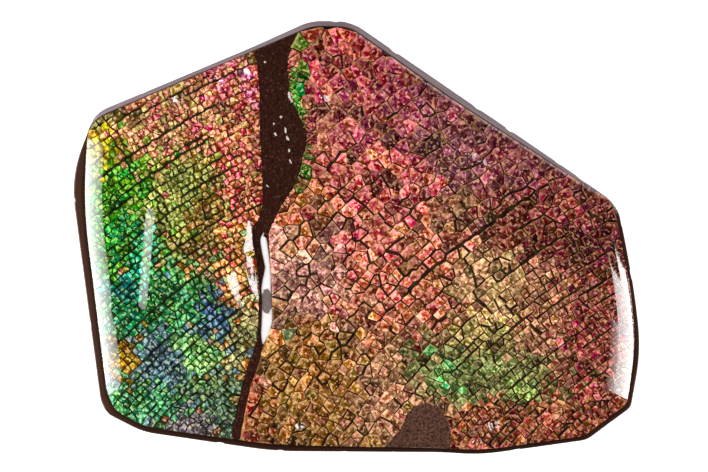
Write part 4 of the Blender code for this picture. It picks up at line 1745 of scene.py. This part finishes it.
def wall_colour(tree, spot, cloud):
    beds = scaled_noise(tree, spot, (0.25, 0.25, 3.2), 4.0)
    level = add(tree, "ShaderNodeSeparateXYZ", {0: spot}).outputs[2]
    painted_sheen_side = attribute(tree, "painted_sheen")
    # Painted shade: the wall is lighter below 3 mm and darker towards its top, under the shoulder,
    # with the beds' own lighter and darker tone added
    painted_height_shade_and_beds = maths(tree, "ADD", ramp(tree, level, 3.0, 5.6, 1.0, 0.0),
                 ramp(tree, beds, 0.35, 0.65, -0.2, 0.2))
    painted_height_shade_and_beds = maths(tree, "MULTIPLY", painted_height_shade_and_beds, 1.0, clamp=True)
    colour = blend(tree, painted_height_shade_and_beds, shade((22, 13, 9)), shade((46, 29, 22)))
    colour = blend(tree, ramp(tree, cloud, 0.4, 0.7, 0.0, 0.5), colour, shade((40, 22, 16)))
    # Painted light: a pale line along the wall's foot, where no sheen is painted
    painted_foot_light = maths(tree, "MULTIPLY", ramp(tree, level, 0.5, 1.1, 0.75, 0.0),
                       maths(tree, "SUBTRACT", 1.0, painted_sheen_side))
    colour = blend(tree, painted_foot_light, colour, shade((120, 105, 96)))
    # Painted light: a pale grey sheen where the wall faces up in the picture, fading below the
    # polish
    painted_sheen = maths(tree, "MULTIPLY", painted_sheen_side, ramp(tree, level, 4.7, 5.5, 1.0, 0.12))
    painted_sheen = maths(tree, "MULTIPLY", painted_sheen, ramp(tree, beds, 0.35, 0.6, 0.62, 1.0))
    return blend(tree, painted_sheen, colour, shade((142, 126, 130)))


def back_colour(tree, cloud):
    return blend(tree, ramp(tree, cloud, 0.35, 0.65), shade((70, 46, 35)), shade((102, 72, 56)))


print("stone colours: face, wall and back")

# %% Stone material
STONE_GLOSS_ROUGHNESS = 0.05
STONE_GLOSS_IOR = 1.7


def worn_dull(tree, spot, specks):
    """How much of the gloss is left: little in the one dull place, all of it elsewhere."""
    dull_x, dull_y = from_picture(*DULL_PLACE)
    offset = add(tree, "ShaderNodeVectorMath", {0: spot, 1: (dull_x, dull_y, 0)},
                 operation="SUBTRACT").outputs[0]
    offset = add(tree, "ShaderNodeVectorMath", {
        0: offset, 1: (1 / DULL_HALF[0], 1 / DULL_HALF[1], 0)}, operation="MULTIPLY").outputs[0]
    away = add(tree, "ShaderNodeVectorMath", {0: offset}, operation="LENGTH").outputs["Value"]
    away = maths(tree, "ADD", away, ramp(tree, specks, 0.3, 0.7, -0.12, 0.12))
    return ramp(tree, away, 0.95, 1.08, DULL_COAT, 1.0)


def value_by_part(tree, on_face, on_back, wall, face, back):
    """One number for the wall, one for the face and one for the back."""
    value = ramp(tree, on_face, 0, 1, wall, face)
    step = maths(tree, "MULTIPLY", maths(tree, "SUBTRACT", back, value), on_back)
    return maths(tree, "ADD", value, step)


def build_stone_material():
    material = bpy.data.materials.new("Ironstone")
    material.use_nodes = True
    tree = material.node_tree
    finish = tree.nodes["Principled BSDF"]
    part = attribute(tree, "part")
    on_face = maths(tree, "COMPARE", part, PART_FACE)
    on_back = maths(tree, "GREATER_THAN", part, LAST_FACE_PART)
    spot = place_in_mm(tree)
    cloud = add(tree, "ShaderNodeTexNoise", {
        "Vector": spot, "Scale": 0.45, "Detail": 5.0}).outputs[0]
    specks = add(tree, "ShaderNodeTexNoise", {
        "Vector": spot, "Scale": 4.0, "Detail": 3.0}).outputs[0]
    colour = blend(tree, on_face, wall_colour(tree, spot, cloud),
                   polished_stone_colour(tree, spot, specks))
    colour = blend(tree, on_back, colour, back_colour(tree, cloud))
    tree.links.new(colour, finish.inputs["Base Color"])
    roughness = value_by_part(tree, on_face, on_back, wall=0.5, face=0.35, back=0.85)
    tree.links.new(roughness, finish.inputs["Roughness"])
    gloss = value_by_part(tree, on_face, on_back, wall=0.0, face=1.0, back=0.0)
    gloss = maths(tree, "MULTIPLY", gloss, worn_dull(tree, spot, specks))
    tree.links.new(gloss, finish.inputs["Coat Weight"])
    finish.inputs["Coat Roughness"].default_value = STONE_GLOSS_ROUGHNESS
    finish.inputs["Coat IOR"].default_value = STONE_GLOSS_IOR
    finish.inputs["Specular IOR Level"].default_value = 0.0
    return material


stone.data.materials.append(build_stone_material())
print("stone material:", len(stone.data.materials[0].node_tree.nodes), "nodes")

# %% [markdown]
# ## Joining the solids
#
# Each piece stands for one of the plain solids and belongs to the one body that doesn't move.

# %% Which solid each piece stands for
for piece, node, slot in (
    (stone, "matrix_stone", "ironstone"),
    (sheet_left, "ammolite_sheet_left", "ammolite_left"),
    (sheet_right, "ammolite_sheet_right", "ammolite_right"),
):
    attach(piece, "root")
    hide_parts(node)
    print(piece.name, "stands for", node)

# %% [markdown]
# ## Table, light and camera
#
# The specimen lies on a white table that glows a little, as paper lit from all sides does.
# Long soft lights stand low at its left and right. Low lights keep the middle of the gloss
# free of reflections, and only the shoulders, the seam's flanks, the climbs and the nicks
# catch them, as upright white streaks and small glints.
#
# A streak ends where the polish starts to mirror a place past the light's end, so the
# lights' ends were chosen with the streaks in view. The right light is three strips, one
# above the other, because the upper ones have to be shorter. A mesh that glows makes a
# streak with soft ends more easily than an area light, since its brightness can fall off
# from the lower edge to the upper one.

# %% Table and lights
LIGHT_DISTANCE = 0.30
LIGHT_RADIANCE = 20.0
WORLD_LIGHT = 0.04
TABLE_GLOW = 0.75
# Name, side, angles in degrees at the low and high edge, share of the light at each of
# the two edges, and both ends along the table's y in millimetres
SOFT_LIGHTS = [
    ("left light", -1, (13.0, 50.0), (1.0, 0.35), (-175.0, 95.0)),
    ("right light", 1, (16.0, 30.0), (1.0, 0.80), (-80.0, 39.0)),
    ("right light, upper part", 1, (30.0, 47.0), (0.80, 0.60), (-80.0, 24.0)),
    ("right light, highest part", 1, (47.0, 62.0), (0.50, 0.1), (-80.0, -15.0)),
]
LIGHT_FALL = 1.7
TABLE_SIZE = 3.0
TABLE_WHITE = 0.8

bpy.ops.mesh.primitive_plane_add(size=TABLE_SIZE, location=(0, 0, 0))
table = bpy.context.object
table.name = "table"
paper = bpy.data.materials.new("White table")
paper.use_nodes = True
paper_finish = paper.node_tree.nodes["Principled BSDF"].inputs
paper_finish["Base Color"].default_value = (TABLE_WHITE, TABLE_WHITE, TABLE_WHITE, 1)
paper_finish["Roughness"].default_value = 0.8
paper_finish["Emission Color"].default_value = (1, 1, 1, 1)
paper_finish["Emission Strength"].default_value = TABLE_GLOW
table.data.materials.append(paper)
table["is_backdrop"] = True


def soft_light(name, side, edges, shares, ends):
    """A glowing sheet that is brightest at its lower edge and leans over the table."""
    glow = bpy.data.materials.new(name)
    glow.use_nodes = True
    tree = glow.node_tree
    finish = tree.nodes["Principled BSDF"].inputs
    finish["Base Color"].default_value = (0, 0, 0, 1)
    along = add(tree, "ShaderNodeSeparateXYZ", {
        0: add(tree, "ShaderNodeTexCoord").outputs["Generated"]}).outputs[2]
    fade = maths(tree, "POWER", ramp(tree, along, 0, 1, *shares), LIGHT_FALL)
    faded = add(tree, "ShaderNodeCombineColor", {0: fade, 1: fade, 2: fade})
    tree.links.new(faded.outputs[0], finish["Emission Color"])
    finish["Emission Strength"].default_value = LIGHT_RADIANCE
    corners = []
    for edge, end in ((0, 0), (0, 1), (1, 1), (1, 0)):
        angle = math.radians(edges[edge])
        corners.append((
            side * math.cos(angle) * LIGHT_DISTANCE / MM, ends[end],
            math.sin(angle) * LIGHT_DISTANCE / MM))
    holder = object_in(name, corners, [(0, 1, 2, 3)])
    holder.data.materials.append(glow)
    holder.visible_camera = False
    holder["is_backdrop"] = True
    return holder


for setting in SOFT_LIGHTS:
    print(soft_light(*setting).name)

world = bpy.data.worlds.new("Studio")
world.use_nodes = True
world.node_tree.nodes["Background"].inputs["Color"].default_value = (1, 1, 1, 1)
world.node_tree.nodes["Background"].inputs["Strength"].default_value = WORLD_LIGHT
bpy.context.scene.world = world

# %% [markdown]
# ## Camera
#
# The picture shows no perspective to speak of, so the camera is far off with a long lens.
# The lens follows from the size of a pixel, so the render and the photograph can be laid
# over each other.

# %% Camera
SENSOR = 36.0
FAR_CLIP = 5.0
camera_data = bpy.data.cameras.new("Camera")
camera_data.sensor_width = SENSOR
camera_data.lens = SENSOR * CAMERA_HEIGHT / (PIXEL * 2 * PICTURE_CENTRE[0])
camera_data.clip_end = FAR_CLIP
camera = bpy.data.objects.new("Camera", camera_data)
camera.location = (
    (PICTURE_CENTRE[0] - MIDDLE_PIXEL[0]) * PIXEL * MM,
    (MIDDLE_PIXEL[1] - PICTURE_CENTRE[1]) * PIXEL * MM,
    CAMERA_HEIGHT * MM,
)
bpy.context.scene.collection.objects.link(camera)
bpy.context.scene.camera = camera
bpy.context.scene.view_settings.view_transform = "Standard"
print("lens:", round(camera_data.lens, 1), "mm")

# %% [markdown]
#
# The dressed specimen is meant to stay inside the solids' own box. Both boxes are printed.

# %% Boxes and finish
new_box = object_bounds()
for corner_name, cad, new in zip(("low", "high"), cad_box, new_box):
    print(corner_name, [round(v * 1000, 3) for v in cad], [round(v * 1000, 3) for v in new])
